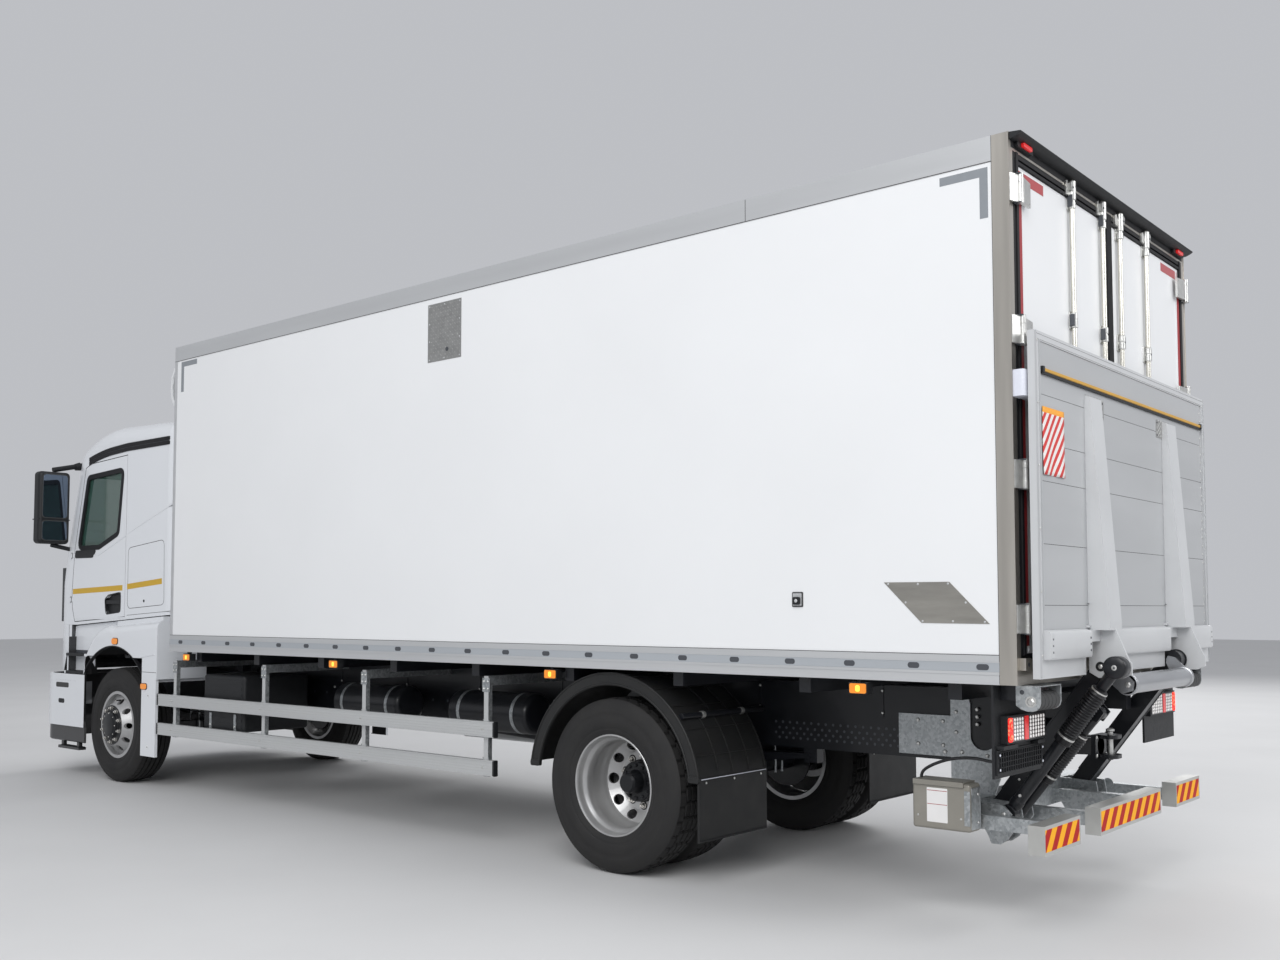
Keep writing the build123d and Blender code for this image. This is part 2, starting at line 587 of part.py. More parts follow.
def underbody():
    """Engine, tanks and boxes hung from the rails, and the amber lamps under the box edge."""
    engine_half, gearbox_half = 330, 190
    web_inner = RAIL_OUTER - RAIL_WEB
    rear, front = CAB_FRONT - 2050, CAB_FRONT - 670
    power = block(rear, front, -engine_half, engine_half, 640, 1340)
    power += block(GEARBOX_REAR, rear, -gearbox_half, gearbox_half, 610, 1000)
    for x in (rear + 100, front - 330):
        power += block(x, x + 90, -web_inner, web_inner, 830, 900)
    add("engine_block", power)

    side = BOX_HALF - 120
    rear, front = BOX_LENGTH - 3124, BOX_LENGTH - 1524
    tank = block(rear, front, -side, -560, 430, 1010)
    tank = fillet(tank.edges().filter_by(Axis.X), 120)
    for x in (rear + 200, front - 300):
        tank += block(x, x + 60, -620, -RAIL_OUTER, 760, 960)
    add("fuel_tank", tank)
    rear, front = BOX_LENGTH - 924, BOX_LENGTH - 324
    battery = fillet(block(rear, front, 560, side - 10, 560, 1010).edges(), 25)
    add("battery_box", battery + block(rear + 260, rear + 340, RAIL_OUTER, 580, 760, 960))
    tanks = []
    for x in (REAR_AXLE + 1135, REAR_AXLE + 2485):
        drum = Pos(x + 400, 700, 830) * Rot(0, 90, 0) * Cylinder(140, 800)
        tanks.append(fillet(drum.edges(), 40) + block(x + 370, x + 430, RAIL_OUTER, 600, 790, 870))
    add("air_tanks", tanks)
    rear, front = BOX_LENGTH - 1124, BOX_LENGTH - 274
    muffler = fillet(block(rear, front, -side, -560, 480, 1060).edges(), 40)
    add("exhaust_box", muffler + block(rear + 400, rear + 480, -620, -RAIL_OUTER, 760, 960))
    lamps = []
    y0, y1 = BOX_HALF - 60, BOX_HALF - 8
    for x in (831, 2970, BOX_LENGTH - 2268, BOX_LENGTH - 258):
        lamp = block(x - 52, x + 52, y0, y1, BOX_BOTTOM - 74, BOX_BOTTOM - 16)
        lamps += both(lamp + block(x - 10, x + 10, y0 + 10, y1 - 12, BOX_BOTTOM - 24, BOX_BOTTOM))
    add("side_lamps", lamps)


arm_start = Vector(ARM_PIVOT_X, 0, ARM_PIVOT_Z)
arm_end = Vector(HINGE_X, 0, HINGE_Z)
arm_length = (arm_end - arm_start).length
along = (arm_end - arm_start) / arm_length
below = Vector(-along.Z, 0, along.X)


def arm_point(distance, offset, y=0):
    """A point on the folded arm: distance from its lower pivot, offset to the rear and below."""
    point = arm_start + along * distance + below * offset
    return (point.X, y, point.Z)


def arm_profile(rows, y0, y1):
    """A plate on the arm, from rows of distance along it and offset below it."""
    return side_profile([arm_point(*row)[::2] for row in rows], y0, y1)


def lift_arms():
    """Two box arms with eyes at both ends; the left one has lugs for the lift cylinder."""
    h = ARM_HALF_HEIGHT
    arm = arm_profile([(0, -h), (arm_length, -h), (arm_length, h), (0, h)], ARM_INNER, ARM_OUTER)
    arm += bar_y(HINGE_X, HINGE_Z, ARM_EYE, ARM_INNER, ARM_OUTER)
    arm += bar_y(ARM_PIVOT_X, ARM_PIVOT_Z, ARM_EYE, ARM_INNER, ARM_OUTER)
    for x, z in ((HINGE_X, HINGE_Z), (ARM_PIVOT_X, ARM_PIVOT_Z)):
        arm -= bar_y(x, z, PIN_BORE, ARM_INNER - 1, ARM_OUTER + 1)
    lugs = arm
    for y0 in (ARM_INNER + 2, ARM_OUTER - 14):
        lugs += arm_profile(
            [
                (LIFT_EYE_ALONG - 55, h - 5), (LIFT_EYE_ALONG + 55, h - 5),
                (LIFT_EYE_ALONG + 30, LIFT_EYE_BELOW + 32), (LIFT_EYE_ALONG - 30, LIFT_EYE_BELOW + 32),
            ],
            y0, y0 + 12,
        )
    return [lugs, flip(arm)]


def lift_head():
    """Hinge pins in the arm eyes, held level with the platform by plates and a tube from side to side."""
    plate_end = ARM_INNER - HEAD_CLEARANCE
    plate = side_profile(
        [
            (HINGE_X - 25, HINGE_Z + 15), (TUBE_X - 42, TUBE_Z + 12), (TUBE_X - 36, TUBE_Z - 30),
            (TUBE_X + 15, TUBE_Z - 48), (TUBE_X + 60, TUBE_Z - 10), (HINGE_X + 22, HINGE_Z - 15),
            (HINGE_X + 12, HINGE_Z + 22),
        ],
        plate_end - HEAD_PLATE, plate_end,
    )
    plate += bar_y(HINGE_X, HINGE_Z, PIN_RADIUS, plate_end - HEAD_PLATE, CHEEK_OUTER)
    inner = plate_end - HEAD_PLATE + 2
    return plate + flip(plate) + bar_y(TUBE_X, TUBE_Z, TUBE_RADIUS, -inner, inner)


def platform():
    """Hollow-section platform with a lower beam, two stiffening ribs and the cheeks that carry its hinge."""
    front, half = PLATFORM_FACE + PLATFORM_THICKNESS, PLATFORM_HALF_WIDTH
    recess = 8
    slab = block(PLATFORM_FACE, front, -half, half, PLATFORM_BOTTOM, PLATFORM_TOP)
    slab -= block(
        PLATFORM_FACE - 1, PLATFORM_FACE + recess, -half + PLATFORM_RIM, half - PLATFORM_RIM,
        1440, PLATFORM_TOP - PLATFORM_RIM,
    )
    slab += block(PLATFORM_FACE - 30, PLATFORM_FACE, -half + 40, half - 40, 1312, 1440)
    lane = block(
        PLATFORM_FACE - 40, front + 1, ARM_INNER - 22, TILT_LANE + 62, PLATFORM_BOTTOM - 1, PLATFORM_NOTCH_TOP
    )
    slab -= lane + flip(lane)
    rib_bottom = -200
    rib = side_profile(
        [
            (PLATFORM_FACE + recess, 1440), (rib_bottom, 1440), (rib_bottom, 1480), (PLATFORM_FACE - 22, 2590),
            (PLATFORM_FACE + recess, 2600),
        ],
        504, 665,
    )
    cheek = side_profile(
        [
            (PLATFORM_FACE, 1450), (rib_bottom, 1450), (HINGE_X - 140, HINGE_Z + 30),
            (HINGE_X - 150, HINGE_Z + 20), (HINGE_X - 150, HINGE_Z - 35), (HINGE_X - 105, HINGE_Z - 55),
            (HINGE_X + 10, HINGE_Z - 55), (PLATFORM_FACE + 30, PLATFORM_BOTTOM + 5), (PLATFORM_FACE + 30, 1400),
        ],
        CHEEK_INNER, CHEEK_OUTER,
    )
    cheek -= bar_y(HINGE_X, HINGE_Z, PIN_BORE, CHEEK_INNER - 1, CHEEK_OUTER + 1)
    side = rib + cheek
    return slab + side + flip(side)


def lift_frame():
    """Cross tube under the box with its hangers, the lugs for arms and cylinders, and the bar supports."""
    x1 = CROSS_TUBE_X + CROSS_TUBE_DEPTH
    low, high = 420, 560
    frame = block(CROSS_TUBE_X, x1, -CROSS_TUBE_END, CROSS_TUBE_END, low, high)
    pivot_x, pivot_z = ARM_PIVOT_X, ARM_PIVOT_Z
    lift_z = pivot_z - LIFT_PIVOT_DROP
    outline = [
        (CROSS_TUBE_X, low), (CROSS_TUBE_X, high), (pivot_x, pivot_z + 50), (pivot_x - 130, pivot_z + 42),
        (pivot_x - 142, pivot_z - 30), (pivot_x - 60, lift_z - 10), (pivot_x - 20, lift_z - 38),
        (pivot_x + 30, lift_z - 38), (pivot_x + 45, lift_z),
    ]
    plates = ((ARM_INNER - 22, ARM_INNER - 8), (CHEEK_INNER, CHEEK_INNER + 12))
    for y0, y1 in plates:
        frame += fused(both(side_profile(outline, y0, y1)))
    y0, y1 = plates[0][0], plates[1][1]
    frame += fused(both(bar_y(pivot_x, pivot_z, PIN_RADIUS, y0, y1)))
    frame += bar_y(pivot_x, lift_z, PIN_RADIUS, y0, y1)
    tilt_x, outer = pivot_x - TILT_OFFSET, TILT_LANE + 55
    frame += side_profile(
        [
            (CROSS_TUBE_X, low), (CROSS_TUBE_X, high), (tilt_x, pivot_z + 42), (tilt_x - 40, pivot_z),
            (tilt_x, pivot_z - 42),
        ],
        outer, outer + 12,
    )
    frame += bar_y(tilt_x, pivot_z, PIN_RADIUS, plates[1][0], outer + 12)
    hanger = side_profile(
        [
            (755, 1123), (645, 1123), (645, NOTCH_TOP), (NOTCH_X - NOTCH_RADIUS - 14, NOTCH_TOP), (476, 640),
            (CROSS_TUBE_X, high), (CROSS_TUBE_X, low), (x1, low), (755, high + 40),
        ],
        RAIL_OUTER, RAIL_OUTER + HANGER,
    )
    y0, y1 = RAIL_OUTER - 1, RAIL_OUTER + HANGER + 1
    hanger -= bar_y(NOTCH_X, NOTCH_Z, NOTCH_RADIUS, y0, y1)
    hanger -= block(NOTCH_X - NOTCH_RADIUS, NOTCH_X + NOTCH_RADIUS, y0, y1, NOTCH_Z, NOTCH_TOP + 1)
    hanger += block(740, RAIL_REAR + 300, RAIL_OUTER, RAIL_OUTER + HANGER, RAIL_BOTTOM + 20, RAIL_TOP - 20)
    frame += fused(both(hanger))
    for y in (350, CROSS_TUBE_END - 28):
        frame += fused(both(block(UNDERRUN_REAR + UNDERRUN_DEPTH, CROSS_TUBE_X, y - 28, y + 28, 440, 510)))
    return frame


def cylinder(low, high, barrel, barrel_end, rod_start, rod_radius, gaiter, span, low_eye, high_eye, half):
    """Barrel with its eye, and the rod that slides in it with the rubber gaiter it carries over the barrel."""
    def at(share):
        return tuple(a + (b - a) * share for a, b in zip(low, high))

    bore = barrel - 8
    y = low[1]
    body = rod(at(0.04), at(barrel_end), barrel) + bar_y(low[0], low[2], low_eye, y - 35, y + 35)
    body -= bar_y(low[0], low[2], PIN_BORE, y - 60, y + 60)
    body -= rod(at(0.10), at(1.05), bore)
    start, end = span
    shaft = rod(at(start), at(end), gaiter) - rod(at(start - 0.01), at(end - 0.04), barrel + GAITER_CLEARANCE)
    shaft += rod(at(rod_start), at(1.0), rod_radius) + rod(at(rod_start), at(rod_start + 0.05), bore - SEAT)
    shaft += bar_y(high[0], high[2], high_eye, y - half, y + half)
    return body, shaft


def lift_cylinders():
    """The tilt cylinder lies outside the left arm, the lift cylinder below it."""
    low = (ARM_PIVOT_X - TILT_OFFSET, TILT_LANE, ARM_PIVOT_Z)
    high = (HINGE_X - TILT_OFFSET, TILT_LANE, HINGE_Z)
    body, shaft = cylinder(low, high, 32, 0.54, 0.27, 18, 48, (0.50, 0.86), 45, TILT_EYE, 38)
    shaft += bar_y(high[0], high[2], PIN_RADIUS, CHEEK_OUTER + 1, TILT_LANE)
    add("tilt_barrel", body)
    add("tilt_rod", shaft)
    low = (ARM_PIVOT_X, LIFT_LANE, ARM_PIVOT_Z - LIFT_PIVOT_DROP)
    high = arm_point(LIFT_EYE_ALONG, LIFT_EYE_BELOW, LIFT_LANE)
    body, shaft = cylinder(low, high, 28, 0.50, 0.31, 15, 40, (0.46, 0.84), 38, 34, 30)
    add("lift_barrel", body)
    add("lift_rod", shaft)


def rear_fittings():
    """Lamp panels with tail lamps and the blank plate, buffers, under-run bars and the lift's control box."""
    panel_x, panel = 120, 12
    board = block(panel_x, panel_x + panel, BOX_HALF - 545, BOX_HALF - 10, 760, BOX_BOTTOM)
    plate = block(panel_x - 8, panel_x, BOX_HALF - 543, BOX_HALF - 23, 775, 890)
    add("lamp_panels", board + plate, flip(board))
    add("tail_lamps", both(block(88, panel_x, BOX_HALF - 530, BOX_HALF - 85, 915, 1045)))
    roller_x, roller_z, roller = -28, 1118, 45
    y0, y1 = BOX_HALF - 335, BOX_HALF - 83
    bracket = block(10, panel_x, y0, y1, 1170, BOX_BOTTOM)
    for y in (y0, y1 - 12):
        bracket += block(-72, panel_x, y, y + 12, 1072, BOX_BOTTOM)
    buffers = both(bracket) + both(bar_y(roller_x, roller_z, roller, y0 + 12 + SEAT, y1 - 12 - SEAT))
    add("buffers", buffers)
    bottom, top = UNDERRUN_BOTTOM, UNDERRUN_BOTTOM + UNDERRUN_HEIGHT
    rear, front = UNDERRUN_REAR, UNDERRUN_REAR + UNDERRUN_DEPTH
    outer_bar = block(rear, front, BOX_HALF - 573, BOX_HALF - 137, bottom, top)
    add("underrun_bars", block(rear, front, -461, 461, bottom, top), both(outer_bar))
    box_top = 674
    box = fillet(block(405, 722, 830, 950, 436, box_top).edges(), 15)
    box += block(440, 712, 822, 958, box_top - 5, box_top + 8)
    box += block(CROSS_TUBE_X, CROSS_TUBE_X + CROSS_TUBE_DEPTH, CROSS_TUBE_END, 835, 460, 540)
    add("control_box", box)

    route = [
        (700, 890, box_top + 8), (700, 890, 708), (655, 889, 742), (575, 888, 776), (490, 887, 796),
        (400, 886, 800), (325, 884, 788), (260, 882, 782), (200, 880, 800), (panel_x + panel, 880, 800),
    ]
    path = FilletPolyline(*route, radius=corner_radii(route))
    add("control_cable", sweep(Plane(origin=path @ 0, z_dir=path % 0) * Circle(8), path))


def corner_radii(points):
    """The largest arc that the two runs at each corner leave room for."""
    radii = []
    for before, at, after in zip(points, points[1:], points[2:]):
        first, second = Vector(*at) - Vector(*before), Vector(*after) - Vector(*at)
        turn = radians(first.get_angle(second))
        radii.append(0.45 * min(first.length, second.length) / tan(turn / 2))
    return radii


def cab_form(inset):
    """The cab's rounded outer form, or the same form this far inside it."""
    with BuildLine() as line:
        rear = Line((CAB_REAR, CAB_FLOOR_REAR), (CAB_REAR, ROOF_REAR))
        roof = Line(rear @ 1, (CAB_FRONT - 1200, ROOF_Z))
        brow = TangentArc(roof @ 1, (CAB_FRONT - 300, 2960), tangent=roof % 1)
        screen = Line(brow @ 1, (CAB_FRONT - 50, 2080))
        nose = Line(screen @ 1, (CAB_FRONT, 1800))
        front = Line(nose @ 1, (CAB_FRONT, CAB_FLOOR))
        floor = Line(front @ 1, (CAB_FRONT - 500, CAB_FLOOR))
        Line(floor @ 1, rear @ 0)
    face = make_face(line.line)
    if inset:
        face = offset(face, -inset, kind=Kind.INTERSECTION)
    half = CAB_HALF_WIDTH - inset
    form = Pos(0, half, 0) * (Plane.XZ * extrude(face, 2 * half))

    def at_side(edge, x, z):
        place = edge.center()
        return abs(place.Y) > half - 120 and place.X > x and place.Z > z

    corner = [e for e in form.edges() if at_side(e, CAB_FRONT - 320, CAB_FLOOR + inset + 1)]
    form = fillet(corner, CAB_CORNER - inset)
    form = fillet([e for e in form.edges() if at_side(e, CAB_REAR + inset + 1, 2900)], ROOF_EDGE - inset)
    back_x, back_z = CAB_REAR + inset + 1, ROOF_REAR - inset - 2
    back = [e for e in form.edges() if e.center().X < back_x and e.center().Z > back_z]
    return fillet(back, REAR_EDGE - inset)


def inset_polygon(points, gap):
    """The same outline drawn this far inside itself."""
    face = offset(make_face(Polyline(*points, close=True)), -gap, kind=Kind.INTERSECTION)
    return [((edge @ 0).X, (edge @ 0).Y) for edge in face.faces()[0].outer_wire().edges()]


DOOR_OUTLINE = [
    (DOOR_REAR, 1475), (CAB_FRONT - 450, 1425), (CAB_FRONT - 395, 1560), (CAB_FRONT - 380, 1700),
    (CAB_FRONT - 420, 2120), (CAB_FRONT - 610, 2890), (CAB_FRONT - 720, 2925), (DOOR_REAR, 2955),
]
WINDOW_OUTLINE = [
    (CAB_FRONT - 1260, 2240), (CAB_FRONT - 900, 2125), (CAB_FRONT - 500, 2128), (CAB_FRONT - 665, 2794),
    (CAB_FRONT - 1334, 2823),
]
HANDLE_OUTLINE = [
    (DOOR_REAR + 80, 1525), (DOOR_REAR + 330, 1505), (DOOR_REAR + 372, 1560), (DOOR_REAR + 368, 1640),
    (DOOR_REAR + 300, 1672), (DOOR_REAR + 80, 1700),
]
SCREEN_OUTLINE = [(-1015, 2055), (1015, 2055), (965, 2890), (-965, 2890)]


def door_hinge(z):
    """Pin and ears on the pillar, the barrel on the door and the pocket that gives it room."""
    y = CAB_HALF_WIDTH
    barrel, half = DOOR_PIN + 4, 18
    ear = block(DOOR_HINGE_X - 6, DOOR_HINGE_X + 26, y - 20, y + 8, z + half + 2, z + half + 12)
    ear += block(DOOR_HINGE_X - 6, DOOR_HINGE_X + 26, y - 20, y + 8, z - half - 12, z - half - 2)
    pin = Pos(DOOR_HINGE_X, y, z) * Cylinder(DOOR_PIN, 2 * half + 20)
    knuckle_part = Pos(DOOR_HINGE_X, y, z) * Cylinder(barrel, 2 * half)
    knuckle_part += block(DOOR_HINGE_X - 60, DOOR_HINGE_X, y - 14, y, z - half, z + half)
    knuckle_part -= Pos(DOOR_HINGE_X, y, z) * Cylinder(DOOR_PIN + PIN_CLEARANCE, 3 * half)
    pocket = Pos(DOOR_HINGE_X, y, z) * Cylinder(barrel + FORK_GAP, 2 * half + 4)
    pocket += block(DOOR_HINGE_X - 65, DOOR_HINGE_X, y - 60, y + 1, z - half - 2, z + half + 2)
    return ear + pin, knuckle_part, pocket


def cab():
    """Hollow shell with its doors, glass, skirt and the things that show through the windows."""
    outer = cab_form(0)
    shell = outer - cab_form(CAB_SKIN)
    wall_inner = CAB_HALF_WIDTH - CAB_SKIN
    opening = side_profile(DOOR_OUTLINE, wall_inner - 1, CAB_HALF_WIDTH + 10)
    leaf = shell & side_profile(inset_polygon(DOOR_OUTLINE, DOOR_GAP), wall_inner, CAB_HALF_WIDTH + 10)
    shell -= opening + flip(opening)
    screen = end_profile(SCREEN_OUTLINE, CAB_FRONT - 450, CAB_FRONT + 10)
    glass = (cab_form(GLASS_INSET) - cab_form(GLASS_INSET + GLASS)) & screen
    shell -= screen
    window = side_profile(WINDOW_OUTLINE, wall_inner - 60, CAB_HALF_WIDTH + 10)
    pane_outer = CAB_HALF_WIDTH - GLASS_INSET
    pane = side_profile(WINDOW_OUTLINE, pane_outer - GLASS, pane_outer)
    leaf = leaf - window
    leaf -= side_profile(HANDLE_OUTLINE, CAB_HALF_WIDTH - HANDLE_DEPTH, CAB_HALF_WIDTH + 1)
    grip_x, grip_z, grip_half = DOOR_REAR + 225, 1612, 125
    y0, y1 = CAB_HALF_WIDTH - HANDLE_DEPTH - 1, CAB_HALF_WIDTH - 4
    leaf += block(grip_x - grip_half, grip_x + grip_half, y0, y1, grip_z - 16, grip_z + 16)
    for z in (1640, 2060):
        ear, barrel, pocket = door_hinge(z)
        shell -= pocket + flip(pocket)
        shell += ear + flip(ear)
        leaf += barrel
    lug = side_profile(
        [
            (TILT_X - 45, TILT_Z - 45), (TILT_X + 45, TILT_Z - 45), (TILT_X + 80, TILT_Z + 60),
            (TILT_X + 80, CAB_FLOOR + 20), (TILT_X - 160, CAB_FLOOR + 20), (TILT_X - 80, TILT_Z + 60),
        ],
        RAIL_OUTER - 5, RAIL_OUTER + 30,
    )
    lug -= bar_y(TILT_X, TILT_Z, TILT_PIN + PIN_CLEARANCE, 0, RAIL_OUTER + 40)
    shell += lug + flip(lug)
    add("cab_shell", shell)
    add("windscreen", glass)
    add("cab_door_left", leaf)
    add("cab_door_right", flip(leaf))
    add("door_glass_left", pane)
    add("door_glass_right", flip(pane))
    cab_inside(shell)
    cab_outside(outer)


def cab_inside(shell):
    """Dashboard, steering wheel and two seats."""
    wheel_y = 560
    dash = block(CAB_FRONT - 500, CAB_FRONT - 55, -1090, 1090, CAB_FLOOR + 30, 1950) - shell
    dash += rod((CAB_FRONT - 400, wheel_y, 1840), (CAB_FRONT - 700, wheel_y, 2012), 26)
    tilt = Plane(origin=(CAB_FRONT - 710, wheel_y, 2018), z_dir=(-0.87, 0, 0.5))
    dash += tilt * Torus(220, 16) + tilt * Box(60, 430, 14) + tilt * Cylinder(60, 30)
    add("dashboard", dash)
    seats = []
    back = [
        (CAB_FRONT - 1420, 1800), (CAB_FRONT - 1280, 1800), (CAB_FRONT - 1340, 2560), (CAB_FRONT - 1440, 2560),
    ]
    for y in (wheel_y, -wheel_y):
        seat = block(CAB_FRONT - 1320, CAB_FRONT - 840, y - 250, y + 250, 1750, 1890)
        seat += side_profile(back, y - 240, y + 240)
        seat += block(CAB_FRONT - 1260, CAB_FRONT - 910, y - 180, y + 180, CAB_FLOOR + 60, 1760) - shell
        seats.append(seat)
    add("seats", seats)


def cab_outside(outer):
    """Mirrors on two arms, and the front skirt with its grille slots."""
    head_x = CAB_FRONT - 355
    head = fillet(block(head_x, head_x + 135, 1170, 1470, 2170, 2860).edges(), 38)
    head += rod((head_x + 60, 980, 2960), (head_x + 60, 1320, 2880), 24)
    head += rod((head_x + 70, 1080, 2115), (head_x + 60, 1320, 2160), 20)
    head -= outer
    head = head.solids().sort_by(SortBy.VOLUME)[-1]
    add("mirrors", both(head))

    half, skin = CAB_HALF_WIDTH, 45
    profile = [
        (CAB_FRONT - 340, 1220), (CAB_FRONT - 340, CAB_FLOOR - SEAT), (CAB_FRONT, CAB_FLOOR - SEAT),
        (CAB_FRONT, SKIRT_BOTTOM), (CAB_FRONT - 255, SKIRT_BOTTOM),
    ]
    skirt = side_profile(profile, -half, half)
    skirt = fillet([e for e in skirt.edges().filter_by(Axis.Z) if e.center().X > CAB_FRONT - 1], CAB_CORNER)
    inner = CAB_FRONT - skin
    hollow = block(inner - 560, inner, -half + skin, half - skin, SKIRT_BOTTOM - 50, CAB_FLOOR + 50)
    corners = [e for e in hollow.edges().filter_by(Axis.Z) if e.center().X > inner - 1]
    skirt -= fillet(corners, CAB_CORNER - skin)
    for i in range(5):
        z = SKIRT_BOTTOM + 60 + 74 * i
        skirt -= block(CAB_FRONT - 100, CAB_FRONT + 10, -780, 780, z, z + 34)
    add("grille_panel", skirt)


def bumper_band(inset, low, high):
    """A band of the bumper with its rounded corners, this far inside the outer face."""
    half, nose = FENDER_Y - inset, BUMPER_FRONT - inset
    form = block(BUMPER_REAR - 3 * BUMPER_SKIN, nose, -half, half, low, high)
    front = [e for e in form.edges().filter_by(Axis.Z) if e.center().X > nose - 1]
    return fillet(front, BUMPER_CORNER - inset)


def bumper_form(inset):
    """Upper band, and below it a lip that draws in towards the road."""
    overrun = 2 * inset
    upper = bumper_band(inset, LIP_TOP - SEAT, BUMPER_TOP + overrun)
    lip = bumper_band(inset + LIP_STEP, BUMPER_BOTTOM - overrun, LIP_TOP)
    if inset:
        return upper + lip
    under = [e for e in lip.edges() if e.center().Z < BUMPER_BOTTOM + 1 and e.center().X > BUMPER_REAR + 200]
    lip = chamfer(under, LIP_CHAMFER)
    return upper + lip - block(0, BUMPER_REAR, -2 * FENDER_Y, 2 * FENDER_Y, 0, 2 * BUMPER_TOP)


def fender_form(inset):
    """The fender swoops up from the bumper and runs back under the door, with a rounded crest."""
    low, rear = BUMPER_TOP + SEAM, CAB_REAR + FENDER_BACK
    with BuildLine() as line:
        swoop = ThreePointArc((SWOOP_FRONT, low), (SWOOP_FRONT - 110, 1212), (SWOOP_FRONT - 604, 1398))
        ledge = Line(swoop @ 1, (rear, 1452))
        back = Line(ledge @ 1, (rear, low))
        Line(back @ 1, swoop @ 0)
    face = make_face(line.line)
    if inset:
        face = offset(face, -inset, kind=Kind.INTERSECTION)
    half = FENDER_Y - inset
    form = Pos(0, half, 0) * (Plane.XZ * extrude(face, half - FENDER_INNER))
    outer = [e for e in form.edges() if e.center().Y > half - 1]
    crest = [e for e in outer if e.center().Z > 1150 and e.center().X > rear + 30]
    form = fillet(crest, FENDER_CREST - inset)
    if inset:
        open_side = FENDER_INNER - 50
        form += block(rear + inset, SWOOP_FRONT - inset - 4, open_side, half, low - 50, low + inset + 1)
        form += Pos(0, open_side, 0) * (Plane.XZ * extrude(face, -60))
    return form


def step_well():
    """The recessed entry steps between the bumper and the door, ahead of the fender."""
    low, high, tread = BUMPER_TOP + SEAM, 1288, 24
    x0, x1 = SWOOP_FRONT - 240, CAB_FRONT - 400
    well = block(x0, x1, WELL_Y, WELL_Y + FENDER_SKIN, low, high)
    well += block(x1 - FENDER_SKIN, x1, WELL_Y, FENDER_Y - 60, low, high)
    for z in (low, 1108):
        well += block(x0, x1, WELL_Y, FENDER_Y - 34, z, z + tread)
    return well


def front_end():
    """Bumper, headlamps and the fixed fenders, all clear of the steered wheels."""
    sweep_room = Pos(FRONT_AXLE, KINGPIN_Y, 560) * Cylinder(STEER_SWEEP, 1120)
    outer = bumper_form(0)
    bumper = outer - bumper_form(BUMPER_SKIN)
    lamp_room = block(CAB_FRONT - 400, BUMPER_FRONT + 10, 760, 1100, 610, 830)
    lamp = (outer - bumper_form(BUMPER_SKIN + 40)) & lamp_room
    bumper -= lamp_room + flip(lamp_room)
    beam = block(RAIL_FRONT - 60, BUMPER_FRONT - BUMPER_SKIN, 340, 420, RAIL_BOTTOM + RAIL_WEB, 870)
    step = block(CAB_FRONT - 770, CAB_FRONT - 360, 1165, 1235, 240, 262)
    for x in (CAB_FRONT - 740, CAB_FRONT - 430):
        step += block(x, x + 40, 1185, 1218, 262, BUMPER_BOTTOM + 180)
    side = beam + step
    bumper += side + flip(side)
    bumper -= sweep_room + flip(sweep_room)
    add("bumper", bumper)
    add("headlamps", both(lamp.solids().sort_by(SortBy.VOLUME)[-1]))

    rear = CAB_REAR + FENDER_BACK
    fender = fender_form(0) + step_well() - fender_form(FENDER_SKIN)
    fender -= bar_y(FRONT_AXLE, AXLE_Z, ARCH_RADIUS, 700, 1300)
    fender += block(rear + 11, rear + 261, FENDER_Y - FENDER_SKIN, FENDER_Y, 280, 1000)
    fender -= sweep_room
    fender += bar_y(rear + 76, 930, 18, RAIL_OUTER, FENDER_Y - FENDER_SKIN + 5)
    fender += bar_y(CAB_FRONT - 650, 960, 17, RAIL_OUTER, 1100)
    add("front_fenders", both(fender))


add("chassis_frame", chassis_frame())
add("subframe", subframe())
add("front_axle", front_axle())
add("rear_axle", rear_axle())
add("leaf_springs", springs())
wheels()
box_body()
door_hardware()
fridge_unit()
side_guards()
rear_mudguards()
underbody()
add("lift_arms", lift_arms())
add("hinge_pins", lift_head())
add("platform", platform())
add("lift_frame", lift_frame())
lift_cylinders()
rear_fittings()
cab()
front_end()

whole = Compound(list(nodes.values())).bounding_box()
middle = (whole.min.X + whole.max.X) / 2
os.makedirs("parts", exist_ok=True)
for name, shape in nodes.items():
    export_step(Pos(-middle, 0, 0) * shape, f"parts/{name}.step")
print(len(nodes), "parts, middle at", middle, whole.size)
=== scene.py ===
from math import cos, hypot, pi, radians, sin

import bmesh
import bpy
from mathutils import Matrix, Vector


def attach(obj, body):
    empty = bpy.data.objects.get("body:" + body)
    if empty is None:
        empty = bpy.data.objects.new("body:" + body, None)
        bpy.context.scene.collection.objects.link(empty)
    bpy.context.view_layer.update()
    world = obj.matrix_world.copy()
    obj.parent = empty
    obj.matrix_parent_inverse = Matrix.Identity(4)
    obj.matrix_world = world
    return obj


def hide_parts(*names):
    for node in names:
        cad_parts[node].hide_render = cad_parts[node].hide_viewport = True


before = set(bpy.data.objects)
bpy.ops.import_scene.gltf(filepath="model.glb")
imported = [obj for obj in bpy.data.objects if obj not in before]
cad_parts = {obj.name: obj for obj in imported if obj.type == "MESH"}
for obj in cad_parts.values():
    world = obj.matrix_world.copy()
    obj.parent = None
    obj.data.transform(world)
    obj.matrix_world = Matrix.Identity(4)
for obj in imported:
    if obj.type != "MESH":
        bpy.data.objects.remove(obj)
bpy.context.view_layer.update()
scene = bpy.context.scene

